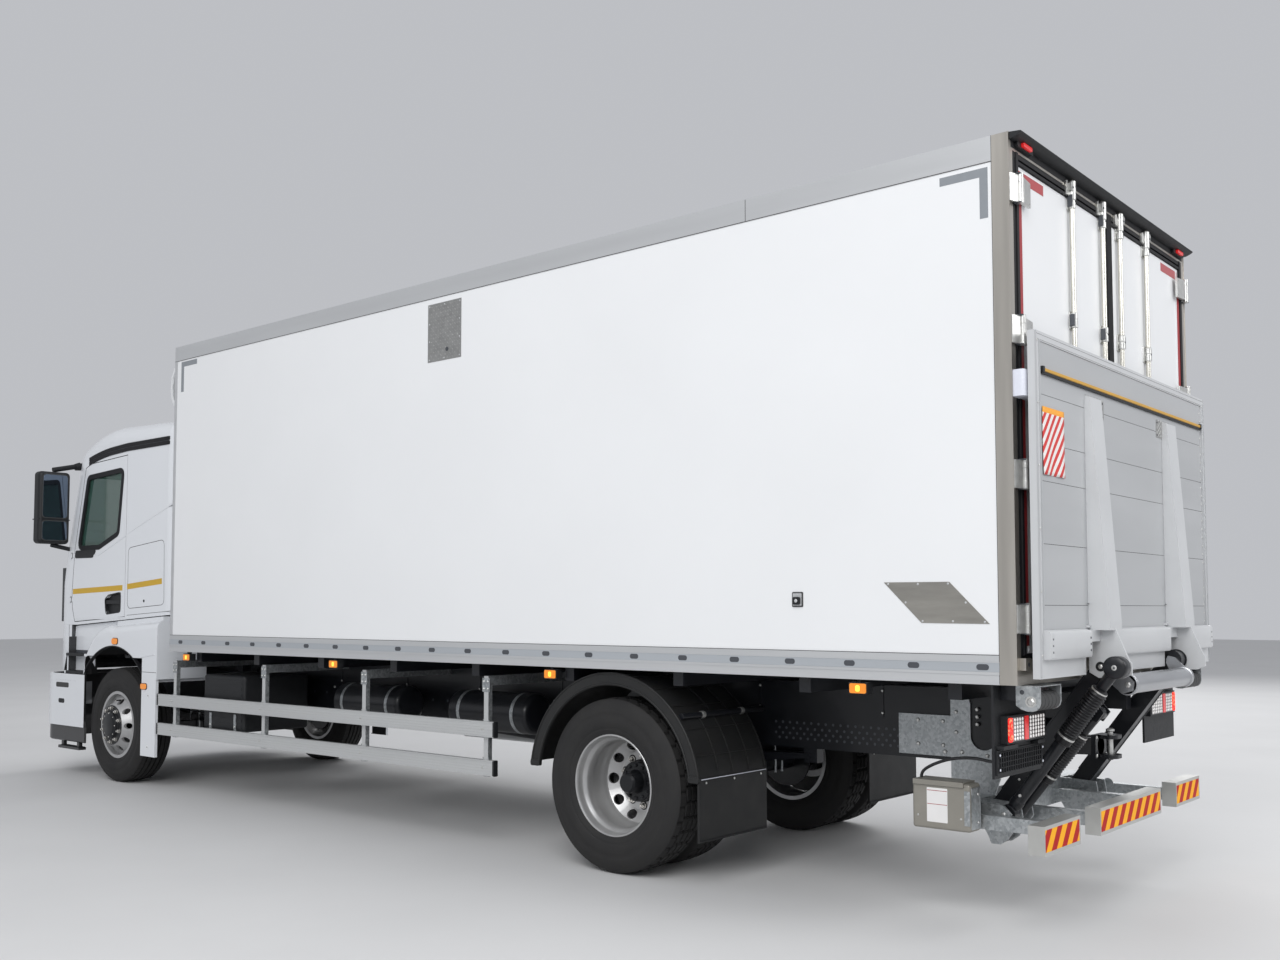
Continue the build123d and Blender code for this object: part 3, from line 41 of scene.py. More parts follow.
# Camera: where the photographer stood, at head height off the truck's left rear corner, with a 35 mm lens.
# The picture was cropped off centre, which the shift repeats.
PHOTO_WIDTH, PHOTO_HEIGHT = 1280, 960
FOCAL_PIXELS, CENTRE_ROW = 1244.2, 540.4
station = Vector((-7.1956, 6.7448, 1.5435))
heading, rise, tilt = radians(49.7347), radians(3.1638), radians(-0.0434)
ahead = Vector((cos(heading) * cos(rise), -sin(heading) * cos(rise), sin(rise)))
right = ahead.cross(Vector((0, 0, 1))).normalized()
upward = right.cross(ahead)
right, upward = right * cos(tilt) + upward * sin(tilt), upward * cos(tilt) - right * sin(tilt)
lens = bpy.data.cameras.new("camera")
lens.sensor_width = 36
lens.lens = FOCAL_PIXELS / PHOTO_WIDTH * lens.sensor_width
lens.shift_y = (CENTRE_ROW - PHOTO_HEIGHT / 2) / PHOTO_WIDTH
lens.clip_end = 500
camera = bpy.data.objects.new("camera", lens)
camera.matrix_world = Matrix((
    (right.x, upward.x, -ahead.x, station.x), (right.y, upward.y, -ahead.y, station.y),
    (right.z, upward.z, -ahead.z, station.z), (0, 0, 0, 1),
))
scene.collection.objects.link(camera)
scene.camera = camera

# Studio: a plain pale floor that meets a soft pale sky at the horizon, and three large lamps over the truck.
# Every finish below is one Finish, and the sums of its shader are written with Value.
world = bpy.data.worlds.new("studio")
world.use_nodes = True
world.node_tree.nodes["Background"].inputs["Color"].default_value = (0.93, 0.95, 1.0, 1)
world.node_tree.nodes["Background"].inputs["Strength"].default_value = 0.55
scene.world = world
scene.view_settings.view_transform = "Standard"


class Value:
    """The output of a shader node, with the operators that a material's sums use."""

    def __init__(self, finish, output):
        self.finish = finish
        self.output = output

    def sum(self, operation, *terms):
        return self.finish.node("ShaderNodeMath", {"operation": operation}, dict(enumerate(terms)))

    def __add__(self, other):
        return self.sum("ADD", self, other)

    def __sub__(self, other):
        return self.sum("SUBTRACT", self, other)

    def __rsub__(self, other):
        return self.sum("SUBTRACT", other, self)

    def __mul__(self, other):
        return self.sum("MULTIPLY", self, other)

    def __gt__(self, other):
        return self.sum("GREATER_THAN", self, other)

    def __lt__(self, other):
        return self.sum("LESS_THAN", self, other)

    def __mod__(self, other):
        return self.sum("FLOORED_MODULO", self, other)

    def __rmod__(self, other):
        return self.sum("FLOORED_MODULO", other, self)

    def __abs__(self):
        return self.sum("ABSOLUTE", self)

    def within(self, low, high):
        return (self > low) * (self < high)

    __radd__ = __add__
    __rmul__ = __mul__


class Finish:
    """One finish. Values that are the same all over are set on the shader's own sockets."""

    def __init__(self, name, colour, roughness=0.5, metallic=0.0, **settings):
        self.material = bpy.data.materials.new(name)
        self.material.use_nodes = True
        self.tree = self.material.node_tree
        self.shader = self.tree.nodes["Principled BSDF"]
        self.colour, self.roughness = colour, roughness
        self.set("Base Color", (*colour, 1))
        self.set("Roughness", roughness)
        self.set("Metallic", metallic)
        for socket, value in settings.items():
            self.set(socket.replace("_", " "), value)

    def set(self, socket, value):
        self.shader.inputs[socket].default_value = value

    def node(self, kind, settings=None, inputs=None, output=0):
        made = self.tree.nodes.new(kind)
        for key, value in (settings or {}).items():
            setattr(made, key, value)
        for key, value in (inputs or {}).items():
            if isinstance(value, Value):
                self.tree.links.new(value.output, made.inputs[key])
            else:
                made.inputs[key].default_value = value
        return Value(self, made.outputs[output])

    def feed(self, socket, value):
        self.tree.links.new(value.output, self.shader.inputs[socket])

    def place(self, stretch=(1, 1, 1)):
        spot = self.node("ShaderNodeTexCoord", output=3)
        return self.node("ShaderNodeVectorMath", {"operation": "MULTIPLY"}, {0: spot, 1: stretch})

    def along(self, axis):
        return self.node("ShaderNodeSeparateXYZ", inputs={0: self.place()}, output="XYZ".index(axis))

    def noise(self, scale, stretch=(1, 1, 1), detail=3.0):
        spot = self.place(stretch)
        return self.node("ShaderNodeTexNoise", inputs={"Vector": spot, "Scale": scale, "Detail": detail})

    def blend(self, factor, first, second):
        return self.node("ShaderNodeMix", {"data_type": "RGBA"}, {0: factor, 6: first, 7: second}, output=2)

    def bump(self, height, depth, strength=1.0):
        bump = self.node("ShaderNodeBump", inputs={"Height": height, "Distance": depth, "Strength": strength})
        self.feed("Normal", bump)

    def uneven(self, scale, colour_share=0.06, gloss_share=0.08, stretch=(1, 1, 1), tint=None):
        """Colour and gloss that wander a little over the surface, as handled and weathered stock does."""
        cloud = self.noise(scale, stretch)
        dull = tint or tuple(c * (1 - 2.5 * colour_share) for c in self.colour)
        pale = tuple(min(1, c * (1 + colour_share)) for c in self.colour)
        self.feed("Base Color", self.blend(cloud, (*dull, 1), (*pale, 1)))
        self.feed("Roughness", cloud * (2 * gloss_share) + (self.roughness - gloss_share))
        return self

    def grain(self, scale, depth, strength=0.4, stretch=(1, 1, 1)):
        self.bump(self.noise(scale, stretch, detail=2.0), depth, strength)
        return self

    def cells(self, scale, depth, strength):
        """The small raised cells of a lens or of reflective film."""
        cell = self.node("ShaderNodeTexVoronoi", inputs={"Vector": self.place(), "Scale": scale})
        self.bump(cell, depth, strength)
        return self


floor_mesh = bpy.data.meshes.new("floor")
FLOOR_REACH = 60
floor_corners = ((-1, -1), (1, -1), (1, 1), (-1, 1))
floor_mesh.from_pydata([(FLOOR_REACH * a, FLOOR_REACH * b, 0) for a, b in floor_corners], [], [(0, 1, 2, 3)])
studio_floor = bpy.data.objects.new("floor", floor_mesh)
scene.collection.objects.link(studio_floor)
floor_finish = Finish("studio_floor", (0.62, 0.62, 0.62), 0.85)
floor_finish.uneven(0.8, 0.03, 0.03)
floor_mesh.materials.append(floor_finish.material)
for lamp_name, spot, size, power in (
    ("sky_left", (-9, 14, 12), 12, 2200), ("sky_right", (4, -16, 12), 12, 1500),
    ("sky_rear", (-18, -4, 10), 9, 1100),
):
    lamp_data = bpy.data.lights.new(lamp_name, "AREA")
    lamp_data.energy, lamp_data.size = power, size
    lamp = bpy.data.objects.new(lamp_name, lamp_data)
    lamp.location = spot
    lamp.rotation_euler = (Vector((0, 0, 1)) - Vector(spot)).to_track_quat("-Z", "Y").to_euler()
    scene.collection.objects.link(lamp)

# Insulated body: floor, sides, front wall and roof are foam panels with a white glass-fibre skin, bonded at
# the corners. Lengths in this script run forward from the rear face of this body, which lies at REAR.
REAR = -4.83


def dress(finish, *nodes):
    """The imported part's own mesh keeps its shape and takes this finish."""
    for node in nodes:
        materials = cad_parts[node].data.materials
        materials.clear()
        materials.append(finish.material)


panel_white = Finish("white_panel_skin", (0.80, 0.81, 0.82), 0.32, Coat_Weight=0.15, Coat_Roughness=0.2)
panel_white.uneven(1.3, 0.015, 0.05).grain(420, 0.0004, 0.25)
dress(panel_white, "box_sides", "box_front_wall", "box_roof")
floor_skin = Finish("grey_load_floor", (0.30, 0.31, 0.32), 0.7)
floor_skin.uneven(6, 0.1, 0.1).grain(260, 0.002, 0.7)
dress(floor_skin, "box_floor")

# Body trims: anodised aluminium rails along the floor and roof edges and the front corners, bonded on.
# The lower rail has two fine beads and a row of lashing slots closed by dark plugs.
drawn_aluminium = Finish("drawn_aluminium", (0.60, 0.61, 0.62), 0.42, 0.55)
drawn_aluminium.uneven(9, 0.05, 0.06, (0.06, 1, 1)).grain(900, 0.0003, 0.3, (0.03, 1, 1))
rail_band = Finish("bluish_rail_face", (0.50, 0.53, 0.56), 0.38, 0.5)
rail_band.uneven(8, 0.05, 0.06, (0.05, 1, 1))
# Dark finish for plugs, rivets and screw heads, and also for the dark discs and strips of painted shade drawn
# where holes and slots are.
dark_fittings_and_shade = Finish("dark_fittings_and_painted_shade", (0.06, 0.065, 0.075), 0.5)
dark_fittings_and_shade.grain(700, 0.0005)
seam_black = Finish("dark_sealant", (0.05, 0.05, 0.05), 0.7)
seam_black.grain(300, 0.0006)
dress(drawn_aluminium, "box_trims")
BODY_LENGTH, BODY_HALF, RAIL_START = 7.424, 1.300, 0.083


def hoops(count, sides, first=0, closed=False):
    """Faces between rings of points that follow each other, with as many points in a ring as it has sides."""
    faces = []
    for ring in range(count if closed else count - 1):
        low, high = first + ring * sides, first + (ring + 1) % count * sides
        faces += [(low + i, low + (i + 1) % sides, high + (i + 1) % sides, high + i) for i in range(sides)]
    return faces


def prism(outline, axis, low, high):
    """A flat outline pushed along an axis. The outline's pairs are the other two axes in X, Y, Z order."""
    order = {"X": (1, 2, 0), "Y": (0, 2, 1), "Z": (0, 1, 2)}[axis]
    points = []
    for depth in (low, high):
        for a, b in outline:
            point = [0, 0, 0]
            point[order[0]], point[order[1]], point[order[2]] = a, b, depth
            points.append(tuple(point))
    count = len(outline)
    return points, [tuple(range(count))[::-1], tuple(range(count, 2 * count))] + hoops(2, count)


def bar(x0, x1, y0, y1, z0, z1):
    return prism([(x0, y0), (x1, y0), (x1, y1), (x0, y1)], "Z", z0, z1)


def rounded(x0, x1, y0, y1, radius, steps=5):
    """The outline of a rectangle with round corners."""
    outline = []
    for cx, cy, start in ((x1 - radius, y1 - radius, 0), (x0 + radius, y1 - radius, 90),
                          (x0 + radius, y0 + radius, 180), (x1 - radius, y0 + radius, 270)):
        for i in range(steps + 1):
            turn = radians(start + 90 * i / steps)
            outline.append((cx + radius * cos(turn), cy + radius * sin(turn)))
    return outline


def plate(x0, x1, y0, y1, radius, axis, low, high):
    """A plate with round corners, from low to high along an axis."""
    return prism(rounded(x0, x1, y0, y1, radius), axis, low, high)


def mirrored(mesh):
    """The same piece on the truck's other side."""
    points, faces = mesh
    return [(x, -y, z) for x, y, z in points], [tuple(reversed(face)) for face in faces]


def other_side(parts):
    return [(finish, mirrored(mesh)) for finish, mesh in parts]


def pair(parts):
    return parts + other_side(parts)


def make(name, body, parts, bevel=0.0, smooth=40, stands_for=()):
    """One piece from (finish, mesh) parts, riding on a body, with eased edges and smooth round faces."""
    data = bpy.data.meshes.new(name)
    points, faces, owners, finishes = [], [], [], []
    for finish, (part_points, part_faces) in parts:
        if finish not in finishes:
            finishes.append(finish)
        first = len(points)
        points += [(x + REAR, y, z) for x, y, z in part_points]
        faces += [tuple(first + i for i in face) for face in part_faces]
        owners += [finishes.index(finish)] * len(part_faces)
    data.from_pydata(points, [], faces)
    for finish in finishes:
        data.materials.append(finish.material)
    data.polygons.foreach_set("material_index", owners)
    work = bmesh.new()
    work.from_mesh(data)
    bmesh.ops.recalc_face_normals(work, faces=work.faces)
    work.to_mesh(data)
    work.free()
    data.polygons.foreach_set("use_smooth", [True] * len(data.polygons))
    data.set_sharp_from_angle(angle=radians(smooth))
    piece = bpy.data.objects.new(name, data)
    scene.collection.objects.link(piece)
    if bevel:
        ease = piece.modifiers.new("eased_edges", "BEVEL")
        ease.width, ease.segments, ease.limit_method = bevel, 2, "ANGLE"
        ease.harden_normals = True
    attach(piece, body)
    if stands_for:
        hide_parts(*stands_for)
    return piece


rail_parts = [
    (rail_band, bar(RAIL_START, BODY_LENGTH, BODY_HALF, BODY_HALF + 0.0012, 1.2530, 1.2950)),
    (drawn_aluminium, bar(RAIL_START, BODY_LENGTH, BODY_HALF, BODY_HALF + 0.0035, 1.2390, 1.2520)),
    (drawn_aluminium, bar(RAIL_START, BODY_LENGTH, BODY_HALF, BODY_HALF + 0.0030, 1.2950, 1.3000)),
    (drawn_aluminium, bar(RAIL_START, BODY_LENGTH, BODY_HALF, BODY_HALF + 0.0030, 1.1940, 1.2010)),
    (seam_black, bar(RAIL_START, BODY_LENGTH, BODY_HALF - 0.0005, BODY_HALF + 0.0006, 1.3290, 1.3320)),
    (seam_black, bar(RAIL_START, BODY_LENGTH, BODY_HALF - 0.0005, BODY_HALF + 0.0006, 3.6430, 3.6460)),
    (seam_black, bar(1.494, 1.497, BODY_HALF - 0.0005, BODY_HALF + 0.0008, 3.6450, 3.7650)),
]
plug_count, plug_start, plug_end = 21, 0.165, 7.25
for i in range(plug_count):
    x = plug_start + (plug_end - plug_start) * i / (plug_count - 1)
    rail_parts.append((dark_fittings_and_shade, plate(x - 0.031, x + 0.031, 1.2600, 1.2880, 0.0135, "Y",
                                        BODY_HALF, BODY_HALF + 0.0022)))
make("rail_beads", "chassis", pair(rail_parts))

# Corner marks: grey film, thinner than a millimetre, cut to an L and stuck on the skin at the two upper
# corners of each side.
grey_film = Finish("grey_film", (0.25, 0.27, 0.29), 0.45)
grey_film.uneven(20, 0.05, 0.05)
MARK = 0.042
mark_parts = []
for outer_x, outer_z, reach, drop, sense in ((0.103, 3.622, 0.246, 0.242, 1),
                                             (7.326, 3.630, 0.245, 0.254, -1)):
    mark_parts.append((grey_film, prism([
        (outer_x, outer_z), (outer_x + sense * reach, outer_z), (outer_x + sense * reach, outer_z - MARK),
        (outer_x + sense * MARK, outer_z - MARK), (outer_x + sense * MARK, outer_z - drop),
        (outer_x, outer_z - drop),
    ], "Y", BODY_HALF - 0.0031, BODY_HALF - 0.0024)))
make("corner_marks", "chassis", pair(mark_parts))

# Side fittings on the left wall: a riveted chequer plate over a cable hole, a small power inlet and a plain
# four-sided stainless plate held by screws. Its lettering is left off.
chequer = Finish("chequer_aluminium", (0.42, 0.42, 0.41), 0.36, 0.85)
chequer.uneven(25, 0.12, 0.1)
SKIN_Y = BODY_HALF - 0.003


def circle(a, b, radius, sides=24):
    turns = [2 * pi * i / sides for i in range(sides)]
    return [(a + radius * cos(turn), b + radius * sin(turn)) for turn in turns]


def stud(x, y, z, radius, height, axis="Y", sides=12):
    """A domed rivet or screw head standing out along an axis."""
    order = {"X": (1, 2, 0), "Y": (0, 2, 1), "Z": (0, 1, 2)}[axis]
    centre = (x, y, z)
    points = []
    for share, lift in ((1.0, 0.0), (0.92, 0.55), (0.6, 0.9)):
        for i in range(sides):
            turn = 2 * pi * i / sides
            point = list(centre)
            point[order[0]] += radius * share * cos(turn)
            point[order[1]] += radius * share * sin(turn)
            point[order[2]] += height * lift
            points.append(tuple(point))
    top = list(centre)
    top[order[2]] += height
    points.append(tuple(top))
    faces = hoops(3, sides)
    faces += [(2 * sides + i, 2 * sides + (i + 1) % sides, 3 * sides) for i in range(sides)]
    faces.append(tuple(range(sides))[::-1])
    return points, faces


def lozenge(x, z, y, length, width, height, lean):
    """One raised bar of the chequer pattern."""
    a, b = (cos(lean), sin(lean)), (-sin(lean), cos(lean))
    base = [(x + a[0] * s * length + b[0] * t * width, y, z + a[1] * s * length + b[1] * t * width)
            for s, t in ((1, 0), (0, 1), (-1, 0), (0, -1))]
    ridge = [(x + a[0] * s * length * 0.5, y + height, z + a[1] * s * length * 0.5) for s in (1, -1)]
    return base + ridge, [(0, 1, 4), (1, 5, 4), (1, 2, 5), (2, 3, 5), (3, 4, 5), (3, 0, 4)]


plate_x, plate_z = (3.796, 4.132), (3.210, 3.605)
plate_parts = [(chequer, bar(*plate_x, SKIN_Y, SKIN_Y + 0.002, *plate_z))]
pitch = 0.024
for i in range(int((plate_x[1] - plate_x[0]) / pitch)):
    for j in range(int((plate_z[1] - plate_z[0]) / pitch)):
        lean = radians(45 if (i + j) % 2 else -45)
        plate_parts.append((chequer, lozenge(plate_x[0] + (i + 0.6) * pitch, plate_z[0] + (j + 0.7) * pitch,
                                             SKIN_Y + 0.0018, 0.0115, 0.0036, 0.0016, lean)))
for x in (plate_x[0] + 0.016, sum(plate_x) / 2, plate_x[1] - 0.016):
    for z in (plate_z[0] + 0.016, plate_z[1] - 0.016):
        plate_parts.append((drawn_aluminium, stud(x, SKIN_Y + 0.002, z, 0.006, 0.003)))
for z in (plate_z[0] + 0.14, plate_z[0] + 0.26):
    for x in (plate_x[0] + 0.016, plate_x[1] - 0.016):
        plate_parts.append((drawn_aluminium, stud(x, SKIN_Y + 0.002, z, 0.006, 0.003)))
plate_parts.append((dark_fittings_and_shade, prism(circle(3.936, 3.281, 0.014), "Y", SKIN_Y + 0.002, SKIN_Y + 0.0045)))
make("chequer_plate", "chassis", plate_parts)

stainless = Finish("brushed_stainless", (0.56, 0.53, 0.48), 0.34, 0.9)
stainless.uneven(3, 0.10, 0.08, (6, 6, 0.35)).grain(700, 0.0003, 0.35, (1, 1, 0.02))
stainless_plate = Finish("dull_stainless_plate", (0.40, 0.385, 0.35), 0.4, 0.85)
stainless_plate.uneven(5, 0.12, 0.08, (1, 1, 6)).grain(800, 0.0003, 0.3, (1, 1, 0.05))
corners = ((0.676, 1.674), (0.328, 1.672), (0.128, 1.474), (0.475, 1.477))
badge_parts = [(stainless_plate, prism(corners, "Y", SKIN_Y, SKIN_Y + 0.0025))]
middle_x, middle_z = (sum(c[i] for c in corners) / 4 for i in (0, 1))
for i in range(4):
    a, b = corners[i], corners[(i + 1) % 4]
    for share in (0.0, 0.5):
        px, pz = a[0] + (b[0] - a[0]) * share, a[1] + (b[1] - a[1]) * share
        pull = 0.10 if share else 0.085
        px, pz = px + (middle_x - px) * pull, pz + (middle_z - pz) * pull
        badge_parts.append((drawn_aluminium, stud(px, SKIN_Y + 0.0025, pz, 0.0055, 0.0025)))
make("stainless_badge_plate", "chassis", pair(badge_parts))

black_moulding = Finish("black_moulding", (0.014, 0.015, 0.017), 0.5, Specular_IOR_Level=0.35)
black_moulding.uneven(40, 0.1, 0.08).grain(900, 0.0006, 0.5)
inlet = [
    (seam_black, plate(1.145, 1.212, 1.554, 1.632, 0.006, "Y", SKIN_Y, SKIN_Y + 0.004)),
    (drawn_aluminium, plate(1.152, 1.205, 1.561, 1.625, 0.004, "Y", SKIN_Y + 0.004, SKIN_Y + 0.008)),
    (black_moulding, plate(1.158, 1.199, 1.566, 1.606, 0.008, "Y", SKIN_Y + 0.008, SKIN_Y + 0.020)),
    (drawn_aluminium, stud(1.1785, SKIN_Y + 0.008, 1.616, 0.005, 0.003)),
    (drawn_aluminium, stud(1.1785, SKIN_Y + 0.020, 1.586, 0.010, 0.004)),
]
make("power_inlet", "chassis", inlet, bevel=0.001)

# Rear frame: brushed stainless steel, welded from wide corner posts, a header and a sill, with a folded lip.
# Sealant closes its joint with the body's skin, and each post carries a small bracket with a hole low down,
# drawn as a dark disc of painted shade.
dress(stainless, "rear_portal")
edge_steel = [(stainless, bar(-0.0025, 0.003, 1.2975, 1.3025, 1.1940, 3.7670)),
              (seam_black, bar(0.0825, 0.0845, 1.2990, 1.3006, 1.1940, 3.7670))]
# The bracket's hole is not cut; a dark disc of painted shade stands for it.
bracket_hole = [(stainless, plate(1.208, 1.262, 1.262, 1.318, 0.006, "X", -0.030, -0.024)),
                (stainless, prism([(1.262, 1.262), (1.262, 1.318), (1.268, 1.318), (1.268, 1.262)], "X",
                                  -0.030, 0.0)),
                (dark_fittings_and_shade, prism(circle(1.235, 1.289, 0.010, 16), "X", -0.0306, -0.0298))]
make("portal_edges", "chassis", pair(edge_steel + bracket_hole))

# Rear doors: two foam leaves in the same white skin, edged with black double-lip rubber and a red inner
# strip. Each leaf has a strip of red reflective film in its upper outer corner.
dress(panel_white, "rear_doors")
rubber = Finish("black_rubber_profile", (0.012, 0.012, 0.014), 0.6, Specular_IOR_Level=0.3)
rubber.uneven(14, 0.12, 0.08).grain(500, 0.0005, 0.4)
dress(rubber, "rear_seals")
red_strip = Finish("red_strip", (0.36, 0.025, 0.03), 0.4)
red_strip.uneven(16, 0.1, 0.08, (1, 1, 0.3))
red_film = Finish("red_reflective_film", (0.42, 0.035, 0.04), 0.3, Coat_Weight=0.4)
red_film.cells(260.0, 0.0006, 0.5)
DOOR_X = 0.006
door_trim = [
    (rubber, bar(-0.006, 0.014, 1.198, 1.222, 1.330, 3.690)),
    (rubber, bar(-0.001, 0.014, 1.230, 1.250, 1.330, 3.690)),
    (red_strip, bar(-0.0015, DOOR_X, 1.158, 1.190, 1.372, 3.470)),
    (panel_white, bar(0.001, DOOR_X, 1.148, 1.157, 1.345, 3.620)),
    (red_film, prism([(0.880, 3.565), (1.180, 3.565), (1.180, 3.616), (0.880, 3.616)], "X", 0.0048, DOOR_X)),
    (rubber, bar(-0.004, 0.014, 0.003, 0.016, 1.330, 3.690)),
    (rubber, bar(-0.004, 0.014, 0.022, 0.033, 1.330, 3.690)),
    (rubber, bar(-0.004, 0.014, 0.036, 1.196, 3.637, 3.652)),
    (rubber, bar(-0.002, 0.014, 0.036, 1.230, 3.664, 3.686)),
]
make("door_seal_lips", "chassis", pair(door_trim), bevel=0.002)

# Door furniture: cast hinges on the posts, and two full-height lock tubes on each leaf with cast cams that
# hook round keepers on the header. All are bright zinc-plated or stainless steel.
cast_zinc = Finish("bright_zinc_casting", (0.66, 0.66, 0.64), 0.32, 0.8)
cast_zinc.uneven(30, 0.12, 0.1).grain(420, 0.0006, 0.5)
pale_tube = Finish("pale_lock_tube", (0.70, 0.68, 0.62), 0.25, 0.75)
pale_tube.uneven(5, 0.06, 0.06, (1, 1, 0.2))
pale_cover = Finish("pale_plastic_cover", (0.70, 0.72, 0.80), 0.5)
pale_cover.uneven(20, 0.04, 0.08).grain(90, 0.003, 0.5)


def capped(count, sides):
    """The faces of a turned piece, with a flat one at each end."""
    return hoops(count, sides) + [tuple(range(sides))[::-1], tuple(range((count - 1) * sides, count * sides))]


def lathe_z(x, y, rings, sides=18):
    """A turned piece on an upright axis, from rings of radius and height."""
    points = [(a, b, z) for radius, z in rings for a, b in circle(x, y, radius, sides)]
    return points, capped(len(rings), sides)


ROD_X, ROD_R = -0.014, 0.0135
HINGE_Z = [1.497, 2.163, 2.837, 3.505]
furniture = []
for z in HINGE_Z:
    furniture += [
        (cast_zinc, prism([(-0.022, 1.100), (-0.010, 1.100), (-0.010, 1.196), (-0.026, 1.215),
                           (-0.034, 1.205)], "Z", z - 0.060, z + 0.060)),
        (cast_zinc, prism([(-0.032, 1.236), (-0.006, 1.224), (-0.001, 1.300), (-0.008, 1.303),
                           (-0.018, 1.270)], "Z", z - 0.066, z + 0.066)),
        (cast_zinc, lathe_z(-0.030, 1.236, [
            (0.006, z - 0.074), (0.015, z - 0.071), (0.015, z - 0.030), (0.0135, z - 0.029),
            (0.0135, z + 0.029), (0.015, z + 0.030), (0.015, z + 0.071), (0.006, z + 0.074)])),
        (dark_fittings_and_shade, bar(-0.040, -0.004, 1.222, 1.262, z - 0.0705, z - 0.0665)),
        (dark_fittings_and_shade, bar(-0.040, -0.004, 1.222, 1.262, z + 0.0665, z + 0.0705)),
    ]
    for dy in (0.018, 0.042):
        for dz in (-0.044, 0.044):
            furniture.append((dark_fittings_and_shade, stud(-0.010 - 0.0105, 1.100 + dy, z + dz, 0.005, -0.004, "X")))
for y in (0.130, 0.560):
    furniture.append((pale_tube, lathe_z(ROD_X, y,
                                         [(0.010, 1.330), (ROD_R, 1.335), (ROD_R, 3.722), (0.010, 3.727)])))
    for z in (1.492, 2.200, 3.003, 3.617):
        furniture += [
            (cast_zinc, plate(y - 0.030, y + 0.022, z - 0.047, z + 0.047, 0.008, "X", -0.001, DOOR_X)),
            (cast_zinc, lathe_z(ROD_X, y, [
                (0.0145, z - 0.040), (0.0185, z - 0.036), (0.0185, z - 0.006), (0.0155, z - 0.005),
                (0.0155, z + 0.005), (0.0185, z + 0.006), (0.0185, z + 0.036), (0.0145, z + 0.040)])),
            (cast_zinc, bar(ROD_X, DOOR_X, y - 0.012, y + 0.016, z - 0.034, z + 0.034)),
            (dark_fittings_and_shade, bar(ROD_X - 0.012, 0.0, y + 0.0205, y + 0.0265, z - 0.030, z + 0.030)),
        ]
    for z, up in ((3.672, 1), (1.352, -1)):
        furniture += [
            (cast_zinc, lathe_z(ROD_X, y, [
                (0.015, z - 0.050), (0.021, z - 0.046), (0.021, z + 0.046), (0.015, z + 0.050)])),
            (cast_zinc, prism([(y - 0.016, z - 0.012), (y + 0.034, z - 0.004),
                               (y + 0.046, z + 0.020 * up + 0.010), (y + 0.030, z + 0.030 * up + 0.012),
                               (y - 0.016, z + 0.026)], "X", -0.030, -0.010)),
            (cast_zinc, prism([(y + 0.012, z - 0.030), (y + 0.060, z - 0.030), (y + 0.060, z + 0.040),
                               (y + 0.048, z + 0.048), (y + 0.040, z + 0.020), (y + 0.012, z + 0.010)], "X",
                              -0.012, -0.001)),
            (cast_zinc, prism([(y - 0.060, z - 0.020), (y - 0.030, z - 0.028), (y - 0.018, z + 0.010),
                               (y - 0.040, z + 0.040), (y - 0.062, z + 0.030)], "X", -0.014, -0.001)),
        ]
        furniture += [(dark_fittings_and_shade, stud(-0.0305, y + 0.022, z + 0.010, 0.006, -0.004, "X"))]
make("door_furniture", "chassis", pair(furniture), bevel=0.0012,
     stands_for=["door_hardware"])
sleeve = plate(-0.058, 0.004, 1.146, 1.300, 0.016, "Z", 2.520, 2.645)
make("hinge_cover", "chassis", [(pale_cover, sleeve)], bevel=0.003)

# Header visor: a black rubber brow over the doors, held in a strip on the header, with a red marker lamp in
# a black housing near each end.
red_lens = Finish("red_lens", (0.50, 0.010, 0.012), 0.18, Coat_Weight=0.6, Emission_Strength=0.35)
red_lens.set("Emission Color", (1.0, 0.02, 0.02, 1))
red_lens.cells(140.0, 0.001, 0.4)
visor_parts = [
    (black_moulding, prism([(-0.060, 3.7520), (-0.062, 3.7580), (-0.055, 3.7610), (-0.002, 3.7662),
                            (-0.0010, 3.7330), (-0.020, 3.7340), (-0.046, 3.7440)], "Y", -1.292, 1.292)),
    (rubber, bar(-0.0015, 0.0, -1.270, 1.270, 3.702, 3.7345)),
]
for y in (1.145, -1.145):
    visor_parts += [
        (black_moulding, plate(y - 0.090, y + 0.090, 3.7110, 3.7400, 0.008, "X", -0.020, -0.001)),
        (red_lens, plate(y - 0.050, y + 0.050, 3.7160, 3.7360, 0.006, "X", -0.034, -0.020)),
    ]
make("header_visor", "chassis", visor_parts, bevel=0.0015)

# Platform: hollow aluminium planks in a riveted frame, folded up behind the doors. Outside it has two tapered
# stiffeners, a folded lower beam, a yellow warning strip along its top and a striped warning flag. The load
# face, which lies against the doors, is a darker deck of fine ribs that shows once the platform is unfolded.
platform_aluminium = Finish("platform_aluminium", (0.52, 0.53, 0.54), 0.45, 0.45)
platform_aluminium.uneven(4, 0.05, 0.07, (1, 0.15, 1)).grain(600, 0.0004, 0.35, (1, 0.05, 1))
white_aluminium = Finish("painted_platform_frame", (0.60, 0.61, 0.62), 0.42, 0.25)
white_aluminium.uneven(3, 0.04, 0.06)
dress(white_aluminium, "platform")
yellow_strip = Finish("yellow_strip", (0.62, 0.34, 0.04), 0.45)
yellow_strip.uneven(30, 0.10, 0.1, (1, 0.3, 1))
FACE = -0.100
HALF = 1.272
PLANKS = (1.440, 1.560, 1.842, 2.133, 2.310, 2.535, 2.780)
deck = []
for low, high in zip(PLANKS, PLANKS[1:]):
    deck.append((platform_aluminium, bar(FACE + 0.0045, FACE + 0.009, -1.227, 1.227, low + 0.0012,
                                         high - 0.0012)))
    deck.append((seam_black, bar(FACE + 0.0065, FACE + 0.009, -1.227, 1.227, high - 0.0016, high + 0.0016)))
for z in (2.785, 2.810):
    deck.append((seam_black, bar(FACE - 0.0004, FACE + 0.001, -HALF + 0.004, HALF - 0.004, z, z + 0.0015)))
